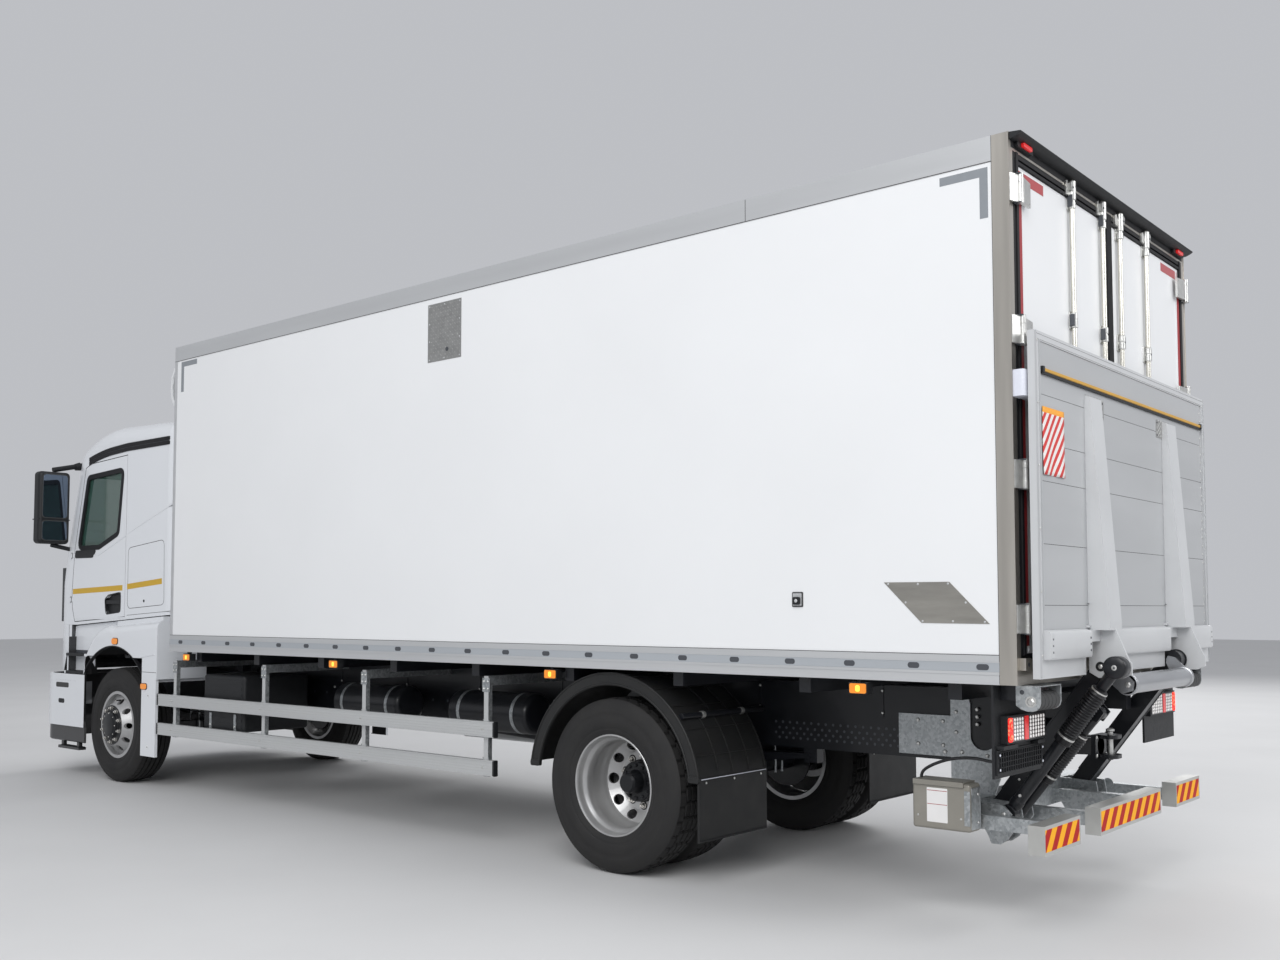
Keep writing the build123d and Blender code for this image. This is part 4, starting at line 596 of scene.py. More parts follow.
frame_parts = [(platform_aluminium, bar(FACE - 0.006, FACE + 0.001, 1.226, 1.232, 1.440, 2.785)),
               (platform_aluminium, bar(FACE - 0.006, FACE + 0.001, 1.268, 1.273, 1.232, 2.820))]
PLANK_RIVETS, EDGE_RIVETS, GRIP_RIBS = 26, 6, 43
for i in range(PLANK_RIVETS):
    frame_parts.append((cast_zinc, stud(FACE + 0.0046, 1.214, 1.470 + i * 0.0505, 0.0052, -0.0035, "X", 10)))
for i in range(EDGE_RIVETS):
    frame_parts.append((cast_zinc, stud(FACE - 0.0005, 1.250, 1.330 + i * 0.29, 0.006, -0.0035, "X", 10)))
deck += pair(frame_parts)
fold = [(FACE - 0.031, 1.314), (FACE - 0.036, 1.322), (FACE - 0.036, 1.428), (FACE - 0.030, 1.4405),
        (FACE - 0.002, 1.4465), (FACE, 1.440), (FACE, 1.312)]
beam = pair([(white_aluminium, prism(fold, "Y", 0.732, 1.236)),
             (white_aluminium, bar(FACE - 0.0375, FACE - 0.0355, 1.196, 1.228, 1.322, 1.430)),
             (white_aluminium, prism(fold, "Y", 0.0, 0.455))])
for z in (1.345, 1.375, 1.405):
    beam += pair([(dark_fittings_and_shade, stud(FACE - 0.0375, 1.212, z, 0.005, -0.002, "X", 10)),
                  (dark_fittings_and_shade, stud(FACE - 0.036, 0.748, z, 0.006, -0.003, "X", 10))])
make("platform_planks", "platform", deck + beam)
grip_aluminium = Finish("grip_deck_aluminium", (0.36, 0.37, 0.38), 0.6, 0.3)
grip_aluminium.uneven(5, 0.05, 0.06).grain(500, 0.0005, 0.4)
LOAD_FACE = FACE + 0.036
grip = [(grip_aluminium, bar(LOAD_FACE - 0.0005, LOAD_FACE + 0.0006, -1.200, 1.200, 1.452, 2.775))]
for i in range(GRIP_RIBS):
    z = 1.466 + 0.030 * i
    grip.append((grip_aluminium, bar(LOAD_FACE + 0.0004, LOAD_FACE + 0.0014, -1.190, 1.190, z, z + 0.009)))
make("platform_grip_deck", "platform", grip)
ribs = pair([
    (white_aluminium, prism([(0.506, 1.440), (0.560, 1.440), (0.5475, 2.560), (0.532, 2.590), (0.520, 2.560)],
                            "X", FACE - 0.023, FACE - 0.019)),
    (white_aluminium, bar(FACE - 0.008, FACE + 0.009, 0.470, 0.700, 1.452, 1.464)),
    (dark_fittings_and_shade, bar(FACE - 0.0008, FACE + 0.0008, 0.480, 0.690, 1.566, 1.570)),
])
make("platform_rib_caps", "platform", ribs, bevel=0.001)
tag = []
for i in range(12):
    for j in range(7):
        points, faces = lozenge(0, 0, 0, 0.0085, 0.0028, 0.0014, radians(45 if (i + j) % 2 else -45))
        place_y, place_z = 0.412 + 0.0205 * (i + 0.6), 2.512 + 0.0135 * (j + 0.5)
        upright = [(FACE + 0.003 - y, place_y + x, place_z + z) for x, y, z in points]
        tag.append((chequer, (upright, [tuple(reversed(face)) for face in faces])))
tag.append((chequer, plate(0.405, 0.663, 2.502, 2.600, 0.004, "X", FACE + 0.003, FACE + 0.0062)))
for y in (0.422, 0.646):
    for z in (2.516, 2.586):
        tag.append((dark_fittings_and_shade, stud(FACE + 0.003, y, z, 0.005, -0.003, "X", 10)))
make("platform_grip_plates", "platform", pair(tag))
warning_strip = [
    (yellow_strip, prism([
        (FACE - 0.004, 2.640), (FACE - 0.010, 2.6435), (FACE - 0.010, 2.6555), (FACE - 0.004, 2.659),
        (FACE + 0.004, 2.659), (FACE + 0.004, 2.640)], "Y", -1.188, 1.188)),
    (black_moulding, bar(FACE - 0.007, FACE + 0.004, -1.206, 1.206, 2.628, 2.641)),
]
warning_strip += pair([(black_moulding, bar(FACE - 0.012, FACE + 0.004, 1.186, 1.208, 2.634, 2.664))])
make("platform_warning_strip", "platform", warning_strip, bevel=0.001)

flag_finish = Finish("striped_warning_flag", (0.78, 0.76, 0.74), 0.55)
side_way, up_way = flag_finish.along("Y"), flag_finish.along("Z")
slant = (up_way + side_way * 1.15) % 0.068
stripes = flag_finish.blend(slant > 0.034, (0.78, 0.76, 0.74, 1), (0.60, 0.035, 0.03, 1))
topped = flag_finish.blend(up_way > 2.452, stripes, (0.85, 0.36, 0.03, 1))
flag_finish.feed("Base Color", topped)
flag_finish.grain(900, 0.0006, 0.5)
flag_points, flag_faces = [], []
flag_y, flag_z = (0.941, 1.196), (2.162, 2.479)
across, down = 12, 16
for j in range(down + 1):
    for i in range(across + 1):
        y = flag_y[0] + (flag_y[1] - flag_y[0]) * i / across
        z = flag_z[0] + (flag_z[1] - flag_z[0]) * j / down
        wave = 0.0035 * sin(9 * i / across + 1.3 * j / down) * (1 - j / down) + 0.002
        flag_points.append((FACE + 0.001 - wave, y + 0.004 * sin(3 * j / down), z))
for j in range(down):
    for i in range(across):
        corner = j * (across + 1) + i
        flag_faces.append((corner, corner + 1, corner + across + 2, corner + across + 1))
flag = make("warning_flag", "platform", [(flag_finish, (flag_points, flag_faces))])
thick = flag.modifiers.new("cloth_thickness", "SOLIDIFY")
thick.thickness = 0.0012

# Lift arms: two black painted box sections with round eyes, carrying the platform's hinge.
# Weld beads run along the corners, and each eye has a keeper plate with its bolts.
black_paint = Finish("black_chassis_paint", (0.009, 0.010, 0.013), 0.34, Coat_Weight=0.1,
                     Specular_IOR_Level=0.4)
black_paint.uneven(11, 0.15, 0.12).grain(160, 0.0008, 0.35)
zinc = Finish("galvanised_steel", (0.40, 0.42, 0.43), 0.42, 0.75)
spangle = zinc.node("ShaderNodeTexVoronoi", inputs={"Vector": zinc.place(), "Scale": 75.0}, output=1)
mottle = zinc.node("ShaderNodeSeparateXYZ", inputs={0: spangle})
zinc.feed("Base Color", zinc.blend(mottle, (0.30, 0.32, 0.33, 1), (0.50, 0.52, 0.53, 1)))
zinc.feed("Roughness", mottle * 0.16 + 0.34)
zinc.grain(340, 0.0006, 0.4)
dress(black_paint, "lift_arms")
ARM_LOW, ARM_HIGH = (0.430, 0.510), (-0.125, 1.260)
arm_length = hypot(ARM_HIGH[0] - ARM_LOW[0], ARM_HIGH[1] - ARM_LOW[1])
arm_way = ((ARM_HIGH[0] - ARM_LOW[0]) / arm_length, (ARM_HIGH[1] - ARM_LOW[1]) / arm_length)


def on_arm(along, below):
    """X and Z of a point so far along the leaning arm and so far to its rear and below."""
    return (ARM_LOW[0] + arm_way[0] * along - arm_way[1] * below,
            ARM_LOW[1] + arm_way[1] * along + arm_way[0] * below)


arm_parts = []
bead_ends = ((0.10, -0.004), (arm_length - 0.09, -0.004), (arm_length - 0.09, 0.004), (0.10, 0.004))
for below in (-0.0445, 0.0445):
    for y in (0.4755, 0.5745):
        bead = [on_arm(along, below + shift) for along, shift in bead_ends]
        arm_parts.append((black_paint, prism(bead, "Y", y - 0.0035, y + 0.0035)))
for px, pz in (ARM_LOW, ARM_HIGH):
    arm_parts.append((black_paint, prism(circle(px, pz, 0.056, 32), "Y", 0.4755, 0.4800)))
    arm_parts.append((black_paint, prism(circle(px, pz, 0.056, 32), "Y", 0.5700, 0.5765)))
keeper = [on_arm(along, below)
          for along, below in ((0.18, -0.022), (0.30, -0.022), (0.30, 0.022), (0.18, 0.022))]
arm_parts.append((black_paint, prism(keeper, "Y", 0.575, 0.579)))
for along in (0.20, 0.28):
    bx, bz = on_arm(along, 0)
    arm_parts.append((cast_zinc, stud(bx, 0.579, bz, 0.008, 0.006, "Y", 6)))
make("arm_weld_beads", "arms", pair(arm_parts), bevel=0.001)

# Lift head: galvanised tube across the truck with a bolted keeper and end ring at each side, on the hinge
# pins. Silver pins run through the arms' and the platform's eyes, each kept by a hexagon bolt.
silver_tube = Finish("silver_tube", (0.46, 0.47, 0.49), 0.3, 0.8)
silver_tube.uneven(7, 0.12, 0.08, (1, 0.3, 1)).grain(500, 0.0004, 0.3, (1, 0.1, 1))
dress(silver_tube, "hinge_pins")


def turned_between(low, high, rings, sides=28):
    """A turned piece between two points, from rings of radius and distance from the first."""
    low, high = Vector(low), Vector(high)
    way = (high - low).normalized()
    side = way.orthogonal().normalized()
    other = way.cross(side)
    points = []
    for radius, distance in rings:
        centre = low + way * distance
        for i in range(sides):
            turn = 2 * pi * i / sides
            points.append(tuple(centre + side * (radius * cos(turn)) + other * (radius * sin(turn))))
    return points, capped(len(rings), sides)


TUBE = (-0.200, 1.170)
head_parts = [
    (silver_tube, turned_between((TUBE[0], 0.420, TUBE[1]), (TUBE[0], 0.461, TUBE[1]),
                                 [(0.050, 0), (0.056, 0.003), (0.056, 0.026), (0.051, 0.030),
                                  (0.050, 0.041)])),
    (cast_zinc, stud(TUBE[0] - 0.012, 0.4725, TUBE[1] - 0.002, 0.016, 0.010, "Y", 6)),
    (cast_zinc, stud(ARM_HIGH[0], 0.6000, ARM_HIGH[1], 0.013, 0.005, "Y", 6)),
    (black_moulding, prism(circle(ARM_HIGH[0], ARM_HIGH[1], 0.024, 28), "Y", 0.5995, 0.6025)),
]
make("head_keepers", "lift_head", pair(head_parts), bevel=0.001)

# Lift and tilt cylinders: black barrels whose chromed rods hide in ribbed rubber gaiters, closed by bright
# clamp bands. Round eyes at both ends hold steel pins.
gaiter_rubber = Finish("ribbed_gaiter_rubber", (0.008, 0.008, 0.010), 0.36, Specular_IOR_Level=0.45)
gaiter_rubber.uneven(60, 0.2, 0.1).grain(700, 0.0006, 0.4)
chrome_rod = Finish("chromed_rod", (0.72, 0.72, 0.72), 0.12, 1.0)
chrome_rod.uneven(9, 0.04, 0.04).grain(900, 0.0001, 0.2)


def ram(name, low, high, barrel, barrel_end, rod_start, rod_radius, gaiter, span, low_eye, high_eye,
        half_width, ribs):
    """Barrel and rod of one cylinder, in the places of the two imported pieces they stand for."""
    low, high = Vector(low), Vector(high)
    length = (high - low).length
    way = (high - low) / length

    def eye(centre, radius, half, bore):
        x, y, z = centre
        return turned_between((x, y - half, z), (x, y + half, z),
                              [(bore, 0), (radius * 0.94, 0), (radius, 0.003), (radius, 2 * half - 0.003),
                               (radius * 0.94, 2 * half), (bore, 2 * half)], 32)

    end = barrel_end * length
    body = [
        (black_paint, turned_between(low, high, [
            (barrel * 0.7, 0.03), (barrel + 0.004, 0.055), (barrel + 0.004, 0.085), (barrel, 0.090),
            (barrel, end - 0.01), (barrel - 0.004, end)])),
        (black_paint, eye(low, low_eye, 0.035, 0.0205)),
        (cast_zinc, turned_between(low + way * 0.12 + Vector((0, barrel, 0)),
                                   low + way * 0.12 + Vector((0, barrel + 0.012, 0)),
                                   [(0.009, -0.004), (0.009, 0.006), (0.006, 0.007), (0.006, 0.011)], 6)),
    ]
    first, last = span[0] * length, span[1] * length
    skirt = (last - first) * 0.16
    rings = [(gaiter * 0.86, first), (gaiter * 0.93, first + 0.003), (gaiter * 0.93, first + skirt)]
    pitch = (last - 0.024 - first - skirt) / ribs
    for i in range(ribs):
        base = first + skirt + i * pitch
        rings += [(gaiter * 0.86, base + 0.10 * pitch), (gaiter * 0.97, base + 0.36 * pitch),
                  (gaiter, base + 0.5 * pitch), (gaiter * 0.97, base + 0.64 * pitch),
                  (gaiter * 0.86, base + 0.90 * pitch)]
    rings += [(gaiter * 0.84, last - 0.022), (gaiter * 0.84, last - 0.006), (gaiter * 0.6, last)]
    shaft = [
        (gaiter_rubber, turned_between(low, high, rings)),
        (cast_zinc, turned_between(low, high, [
            (gaiter * 0.90, first + skirt * 0.62), (gaiter * 0.965, first + skirt * 0.64),
            (gaiter * 0.965, first + skirt * 0.82), (gaiter * 0.90, first + skirt * 0.84)])),
        (cast_zinc, turned_between(low, high, [
            (gaiter * 0.80, last - 0.018), (gaiter * 0.88, last - 0.017), (gaiter * 0.88, last - 0.010),
            (gaiter * 0.80, last - 0.009)])),
        (chrome_rod, turned_between(low, high, [(rod_radius, rod_start * length),
                                                (rod_radius, length - high_eye * 0.8)])),
        (black_paint, turned_between(low, high, [
            (rod_radius + 0.004, last - 0.002), (rod_radius + 0.009, last + 0.004),
            (rod_radius + 0.012, length - high_eye * 0.8)])),
        (black_paint, eye(high, high_eye, half_width, 0.0205)),
        (cast_zinc, stud(high.x, high.y + half_width - 0.004, high.z, 0.019, 0.005, "Y", 24)),
        (dark_fittings_and_shade, stud(high.x, high.y + half_width, high.z, 0.006, 0.003, "Y", 6)),
    ]
    make(name + "_barrel_form", name + "_barrel", body, bevel=0.0008,
         stands_for=[name + "_barrel"])
    make(name + "_rod_form", name + "_rod", shaft, smooth=50, stands_for=[name + "_rod"])


ram("tilt", (0.330, 0.660, 0.510), (-0.225, 0.660, 1.260), 0.032, 0.54, 0.27, 0.018, 0.048, (0.50, 0.86),
    0.045, 0.055, 0.038, 17)
lift_eye = on_arm(0.720, 0.105)
ram("lift", (0.430, 0.525, 0.370), (lift_eye[0], 0.525, lift_eye[1]), 0.028, 0.50, 0.31, 0.015, 0.040,
    (0.46, 0.84), 0.038, 0.034, 0.030, 16)

# Lift frame: hot-dip galvanised hangers, lugs and cross tube under the body, bolted to the chassis rails.
# The long hangers have a deep round notch, and hexagon bolts in rows.
dress(zinc, "lift_frame")
frame_bolts = []
for x, z in ((0.722, 1.070), (0.722, 0.985), (0.722, 0.875), (0.80, 0.93), (0.80, 0.80), (0.95, 0.93),
             (0.95, 0.80), (0.60, 1.005), (0.60, 0.965), (0.60, 0.925)):
    frame_bolts.append((cast_zinc, stud(x, 0.4422, z, 0.0125, 0.009, "Y", 6)))
for x, z in ((0.600, 0.470), (0.530, 0.470), (0.600, 0.520), (0.530, 0.520)):
    frame_bolts.append((cast_zinc, stud(x, 0.8130, z, 0.012, 0.009, "Y", 6)))
frame_bolts += [
    (zinc, prism(circle(0.430, 0.510, 0.034, 28), "Y", 0.5970, 0.6035)),
    (cast_zinc, stud(0.430, 0.6035, 0.510, 0.014, 0.009, "Y", 6)),
    (zinc, prism(circle(0.330, 0.510, 0.032, 28), "Y", 0.7270, 0.7320)),
    (cast_zinc, stud(0.330, 0.7320, 0.510, 0.013, 0.008, "Y", 6)),
    (zinc, bar(0.020, 0.505, 0.7565, 0.7580, 0.452, 0.498)),
    (zinc, bar(0.496, 0.512, 0.752, 0.818, 0.432, 0.556)),
]
make("lift_frame_bolts", "chassis", pair(frame_bolts), bevel=0.001)

# Dock buffers: a ribbed black rubber roller between two galvanised cheeks, on an angle under each corner
# post. A pin held by a hexagon nut runs through the roller.
buffer_rubber = Finish("scuffed_buffer_rubber", (0.045, 0.046, 0.047), 0.6)
buffer_rubber.uneven(30, 0.25, 0.12, (1, 0.2, 1)).grain(220, 0.0015, 0.5)
roller = [(0.0205, 0.0), (0.040, 0.0), (0.0440, 0.004)]
for i in range(5):
    start = 0.012 + i * 0.043
    roller += [(0.0448, start), (0.0448, start + 0.036), (0.0405, start + 0.038), (0.0405, start + 0.041)]
roller += [(0.0440, 0.2235), (0.040, 0.2265)]
buffer_parts = [
    (buffer_rubber, turned_between((-0.028, 0.9780, 1.118), (-0.028, 1.2045, 1.118), roller, 36)),
    (cast_zinc, stud(-0.028, 1.2170, 1.118, 0.020, 0.011, "Y", 6)),
    (cast_zinc, prism(circle(-0.028, 1.118, 0.026, 24), "Y", 1.2165, 1.2190)),
    (dark_fittings_and_shade, prism(circle(0.014, 1.160, 0.011, 20), "Y", 1.2165, 1.2174)),
    (zinc, bar(-0.072, 0.044, 0.966, 1.2165, 1.1860, 1.1910)),
    (black_paint, bar(0.044, 0.119, 0.966, 1.2165, 1.1200, 1.1905)),
]
cheek = [(-0.072, 1.112), (-0.066, 1.092), (-0.052, 1.078), (-0.032, 1.072), (-0.008, 1.073), (0.020, 1.082),
         (0.044, 1.098), (0.044, 1.190), (-0.064, 1.190), (-0.072, 1.182)]
for y in (0.966, 1.205):
    buffer_parts.append((zinc, prism(cheek, "Y", y, y + 0.0118)))
make("buffer_rollers", "chassis", pair(buffer_parts), bevel=0.0012, stands_for=["buffers"])

# Rear lamp boards: black panels with a clear-lensed lamp, a stop bar and a column of lit red cells, and
# below it the empty black holder for a number plate, held by pale screws.
dress(black_moulding, "lamp_panels")
lens_dark = Finish("smoked_lens_ground", (0.10, 0.085, 0.085), 0.15, Coat_Weight=0.8)
lens_dark.uneven(40, 0.2, 0.05)
lens_cells = Finish("clear_lens_cells", (0.86, 0.84, 0.83), 0.15, 0.2, Coat_Weight=0.6,
                    Emission_Strength=0.25)
lens_cells.set("Emission Color", (1.0, 0.97, 0.95, 1))
lens_cells.uneven(90, 0.05, 0.04)
lit_red = Finish("lit_red_cells", (0.70, 0.02, 0.015), 0.2, Emission_Strength=2.2)
glow = lit_red.node("ShaderNodeTexVoronoi", inputs={"Vector": lit_red.place(), "Scale": 55.0})
lit_red.feed("Emission Color", lit_red.blend(glow * 1.9, (1.0, 0.26, 0.12, 1), (0.55, 0.005, 0.004, 1)))
lit_red.bump(glow, 0.003, 0.6)
dress(black_moulding, "tail_lamps")
LAMP_FACE, LENS_Z = 0.088, (0.924, 1.036)
CELL_Z = [0.936 + i * 0.0178 for i in range(6)]
lamp_parts = [
    (black_moulding, plate(0.772, 1.213, 0.917, 1.043, 0.014, "X", LAMP_FACE - 0.0005, LAMP_FACE + 0.004)),
    (lens_dark, plate(0.786, 1.174, *LENS_Z, 0.010, "X", LAMP_FACE - 0.0030, LAMP_FACE + 0.001)),
    (lit_red, plate(1.163, 1.207, *LENS_Z, 0.012, "X", LAMP_FACE - 0.0055, LAMP_FACE + 0.001)),
    (red_lens, plate(0.985, 1.028, *LENS_Z, 0.004, "X", LAMP_FACE - 0.0060, LAMP_FACE + 0.001)),
]
for z in CELL_Z:
    for y in (0.803, 0.834, 0.865, 0.896, 0.927, 0.958, 1.050, 1.079, 1.108, 1.137):
        lamp_parts.append((lens_cells, stud(LAMP_FACE - 0.0028, y, z, 0.0086, -0.0040, "X", 10)))
for z in CELL_Z:
    lamp_parts.append((lit_red, stud(LAMP_FACE - 0.0055, 1.186, z, 0.0078, -0.0040, "X", 10)))
make("tail_lamp_lenses", "chassis", pair(lamp_parts), bevel=0.0008)
HOLDER = 0.112
holder = [(black_moulding, plate(0.758, 1.276, 0.776, 0.889, 0.006, "X", HOLDER - 0.0010, HOLDER + 0.002))]
for i in range(19):
    y = 0.785 + i * 0.0258
    holder.append((black_moulding, bar(HOLDER - 0.0075, HOLDER, y - 0.0022, y + 0.0022, 0.784, 0.881)))
for i in range(5):
    z = 0.786 + i * 0.0235
    holder.append((black_moulding, bar(HOLDER - 0.0062, HOLDER, 0.770, 1.264, z - 0.002, z + 0.002)))
for y in (0.772, 1.262):
    for z in (0.800, 0.868):
        holder.append((pale_cover, stud(HOLDER - 0.0075, y, z, 0.0065, -0.003, "X", 12)))
holder += [
    (black_moulding, plate(1.110, 1.270, 0.893, 0.911, 0.006, "X", 0.082, 0.120)),
    (black_moulding, plate(0.790, 0.880, 0.893, 0.911, 0.006, "X", 0.082, 0.120)),
]
make("plate_holder", "chassis", holder, bevel=0.0008)

# Control box: folded steel painted a warm grey, with an overlapping lid and a blank white label on its side.
# It is held by round-headed bolts on a galvanised bracket.
box_paint = Finish("warm_grey_box_paint", (0.30, 0.285, 0.25), 0.4, 0.25)
box_paint.uneven(6, 0.10, 0.08).grain(300, 0.0005, 0.3)
white_label = Finish("blank_white_label", (0.80, 0.79, 0.78), 0.45)
white_label.uneven(14, 0.02, 0.05)
dress(box_paint, "control_box")
box_parts = [
    (box_paint, bar(0.438, 0.7125, 0.9498, 0.9595, 0.6560, 0.6820)),
    (seam_black, bar(0.440, 0.7120, 0.9500, 0.9512, 0.6540, 0.6560)),
    (white_label, plate(0.527, 0.640, 0.472, 0.643, 0.004, "Y", 0.9500, 0.9508)),
    (red_strip, bar(0.529, 0.638, 0.9508, 0.9510, 0.628, 0.631)),
    (red_strip, bar(0.529, 0.638, 0.9508, 0.9510, 0.560, 0.563)),
    (zinc, bar(0.400, 0.4055, 0.842, 0.938, 0.450, 0.655)),
    (cast_zinc, stud(0.4005, 0.870, 0.62, 0.008, -0.004, "X", 12)),
    (cast_zinc, stud(0.4005, 0.870, 0.48, 0.008, -0.004, "X", 12)),
    (zinc, bar(0.405, 0.436, 0.9500, 0.9525, 0.470, 0.640)),
    (cast_zinc, stud(0.455, 0.9500, 0.50, 0.006, 0.003)),
    (cast_zinc, stud(0.690, 0.9500, 0.50, 0.006, 0.003)),
]
make("control_box_trim", "chassis", box_parts, bevel=0.0008)

# Control cable: black rubber-covered cable as thick as a finger. It leaves the box's lid in a low arch and
# ends behind the lamp board.
cable_rubber = Finish("black_cable_rubber", (0.02, 0.02, 0.022), 0.4)
cable_rubber.uneven(40, 0.2, 0.1)
route = [
    (0.700, 0.890, 0.682), (0.700, 0.890, 0.708), (0.655, 0.889, 0.742), (0.575, 0.888, 0.776),
    (0.490, 0.887, 0.796), (0.400, 0.886, 0.800), (0.325, 0.884, 0.788), (0.260, 0.882, 0.782),
    (0.200, 0.880, 0.800), (0.132, 0.880, 0.800),
]
cable_curve = bpy.data.curves.new("control_cable_run", "CURVE")
cable_curve.dimensions = "3D"
spline = cable_curve.splines.new("NURBS")
spline.points.add(len(route) - 1)
for point, (x, y, z) in zip(spline.points, route):
    point.co = (x + REAR, y, z, 1)
spline.order_u = 3
spline.use_endpoint_u = True
cable_curve.bevel_depth = 0.008
cable_curve.bevel_resolution = 4
cable_curve.materials.append(cable_rubber.material)
cable = bpy.data.objects.new("control_cable_run", cable_curve)
scene.collection.objects.link(cable)
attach(cable, "chassis")
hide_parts("control_cable")

# Under-run bars: square aluminium tube, closed by thin end plates. Film with slanting yellow and red stripes
# is stuck on the face to the rear.
bar_aluminium = Finish("under_run_aluminium", (0.52, 0.52, 0.50), 0.36, 0.6)
bar_aluminium.uneven(12, 0.07, 0.06, (1, 0.1, 1)).grain(800, 0.0004, 0.3, (1, 0.03, 1))
dress(bar_aluminium, "underrun_bars")
hazard_film = Finish("yellow_and_red_film", (0.90, 0.42, 0.004), 0.5, Specular_IOR_Level=0.2)
across_way, rise_way = hazard_film.along("Y"), hazard_film.along("Z")
lean = (across_way + rise_way * 0.75 + 10.0) % 0.124
hazard_film.feed("Base Color",
                 hazard_film.blend(lean > 0.062, (0.92, 0.42, 0.004, 1), (0.42, 0.002, 0.002, 1)))
hazard_film.cells(240.0, 0.0005, 0.4)
bar_parts = []
for y0, y1 in ((0.727, 1.163), (-0.461, 0.461), (-1.163, -0.727)):
    bar_parts += [
        (hazard_film, bar(-0.0592, -0.0578, y0 + 0.014, y1 - 0.012, 0.428, 0.530)),
        (bar_aluminium, bar(-0.0588, 0.0205, y0 - 0.0002, y0 + 0.003, 0.4098, 0.5472)),
        (bar_aluminium, bar(-0.0588, 0.0205, y1 - 0.003, y1 + 0.0002, 0.4098, 0.5472)),
    ]
make("under_run_film", "chassis", bar_parts, bevel=0.0008)

# Tyres: black radial truck tyres with a ribbed tread on the steered wheels and cross-cut blocks on the driven
# ones. Each is one turned casing whose tread is cut by four grooves, with raised rings on the side wall.
tyre_rubber = Finish("tyre_rubber", (0.013, 0.013, 0.014), 0.72, Specular_IOR_Level=0.35)
tyre_rubber.uneven(7, 0.22, 0.08, tint=(0.024, 0.023, 0.022)).grain(240, 0.0008, 0.5)
WHEEL_Z, TYRE_R, BEAD_R = 0.512, 0.5115, 0.2865
FRONT_X, REAR_X = 8.499, 2.515
FRONT_Y, REAR_OUTER, REAR_INNER = 1.065, 1.110, 0.760


def tyre_form(x, y, cuts, depth, sides=216):
    """Casing and tread about one wheel centre; every few steps round, the blocks are cut across."""
    wall = [(BEAD_R, 0.117), (BEAD_R + 0.014, 0.127), (0.318, 0.134), (0.326, 0.1385), (0.336, 0.1385),
            (0.342, 0.143), (0.392, 0.1495), (0.396, 0.1480), (0.424, 0.1478), (0.430, 0.1490),
            (0.458, 0.1400), (0.478, 0.1320), (0.494, 0.1240), (0.504, 0.1140)]
    tread, edge = [], 0.108
    for groove in (0.066, 0.022, -0.022, -0.066):
        tread += [(edge, 1), (groove + 0.0065, 1), (groove + 0.004, 0), (groove - 0.004, 0)]
        edge = groove - 0.0065
    tread += [(edge, 1), (-0.108, 1)]
    rings = [(radius, offset, False) for radius, offset in wall]
    rings += [(TYRE_R - 0.010 * (offset / 0.108) ** 4 if land else TYRE_R - 0.015, offset, bool(land))
              for offset, land in tread]
    rings += [(radius, -offset, False) for radius, offset in reversed(wall)]
    points = []
    for radius, offset, land in rings:
        for i in range(sides):
            slant = i + (0 if abs(offset) > 0.068 else 2)
            cut = depth if land and slant % cuts == 0 and (abs(offset) > 0.060 or depth > 0.006) else 0
            turn = 2 * pi * i / sides
            points.append((x + (radius - cut) * cos(turn), y + offset, WHEEL_Z + (radius - cut) * sin(turn)))
    return points, hoops(len(rings), sides, closed=True)


for side, sign in (("left", 1), ("right", -1)):
    make("front_tyre_tread_" + side, "front_wheel_" + side,
         [(tyre_rubber, tyre_form(FRONT_X, sign * FRONT_Y, 4, 0.005))], smooth=32,
         stands_for=["front_tyre_" + side])
    make("rear_tyre_tread_" + side, "rear_wheels_" + side,
         [(tyre_rubber, tyre_form(REAR_X, sign * y, 6, 0.012)) for y in (REAR_OUTER, REAR_INNER)],
         smooth=32, stands_for=["rear_tyres_" + side])

# Wheels: silver painted steel rims on black hubs, held by ten nuts on studs, with a valve in one hand hole.
# The front disc stands outward with a low hub cap. The rear pair's outer disc lies deep inside a stepped
# rim, its hand holes cut through a cone, and the drive flange stands in the middle.
silver_paint = Finish("silver_wheel_paint", (0.50, 0.50, 0.50), 0.38, 0.65, Coat_Weight=0.15)
silver_paint.uneven(9, 0.08, 0.08).grain(260, 0.0005, 0.3)
nut_zinc = Finish("bright_wheel_nut", (0.72, 0.70, 0.66), 0.25, 0.85)
nut_zinc.uneven(60, 0.12, 0.08)
hub_black = Finish("black_hub_paint", (0.008, 0.009, 0.011), 0.34, Specular_IOR_Level=0.4)
hub_black.uneven(14, 0.2, 0.1).grain(220, 0.0006, 0.35)
dress(silver_paint, "front_rim_left", "front_rim_right")
NUTS, NUT_CIRCLE = 10, 0.1500
CAP_BOLTS, CAP_CIRCLE = 8, 0.105
FLANGE_BOLTS, FLANGE_CIRCLE = 12, 0.098
HAND_HOLES, HOLE_R, VALVE_CIRCLE = 10, 0.0330, 0.232


def nut_ring(x, y, size=0.0165):
    """Wheel nuts on a disc face: a flange, a hexagon and the stud's end in each."""
    parts = []
    for i in range(NUTS):
        turn = 2 * pi * (i + 0.5) / NUTS
        a, b = x + NUT_CIRCLE * cos(turn), WHEEL_Z + NUT_CIRCLE * sin(turn)
        seat, end = (a, y, b), (a, y + 0.04, b)
        parts.append((hub_black, prism(circle(a, b, size * 1.65, 20), "Y", y - 0.001, y + 0.002)))
        parts.append((nut_zinc, turned_between(seat, end, [
            (size * 1.32, -0.001), (size * 1.32, size * 0.22), (size, size * 0.30), (size, size * 1.25),
            (size * 0.80, size * 1.45)], 6)))
        parts.append((nut_zinc, turned_between(seat, end, [
            (size * 0.55, size), (size * 0.55, size * 2.0), (size * 0.45, size * 2.1)], 10)))
    return parts


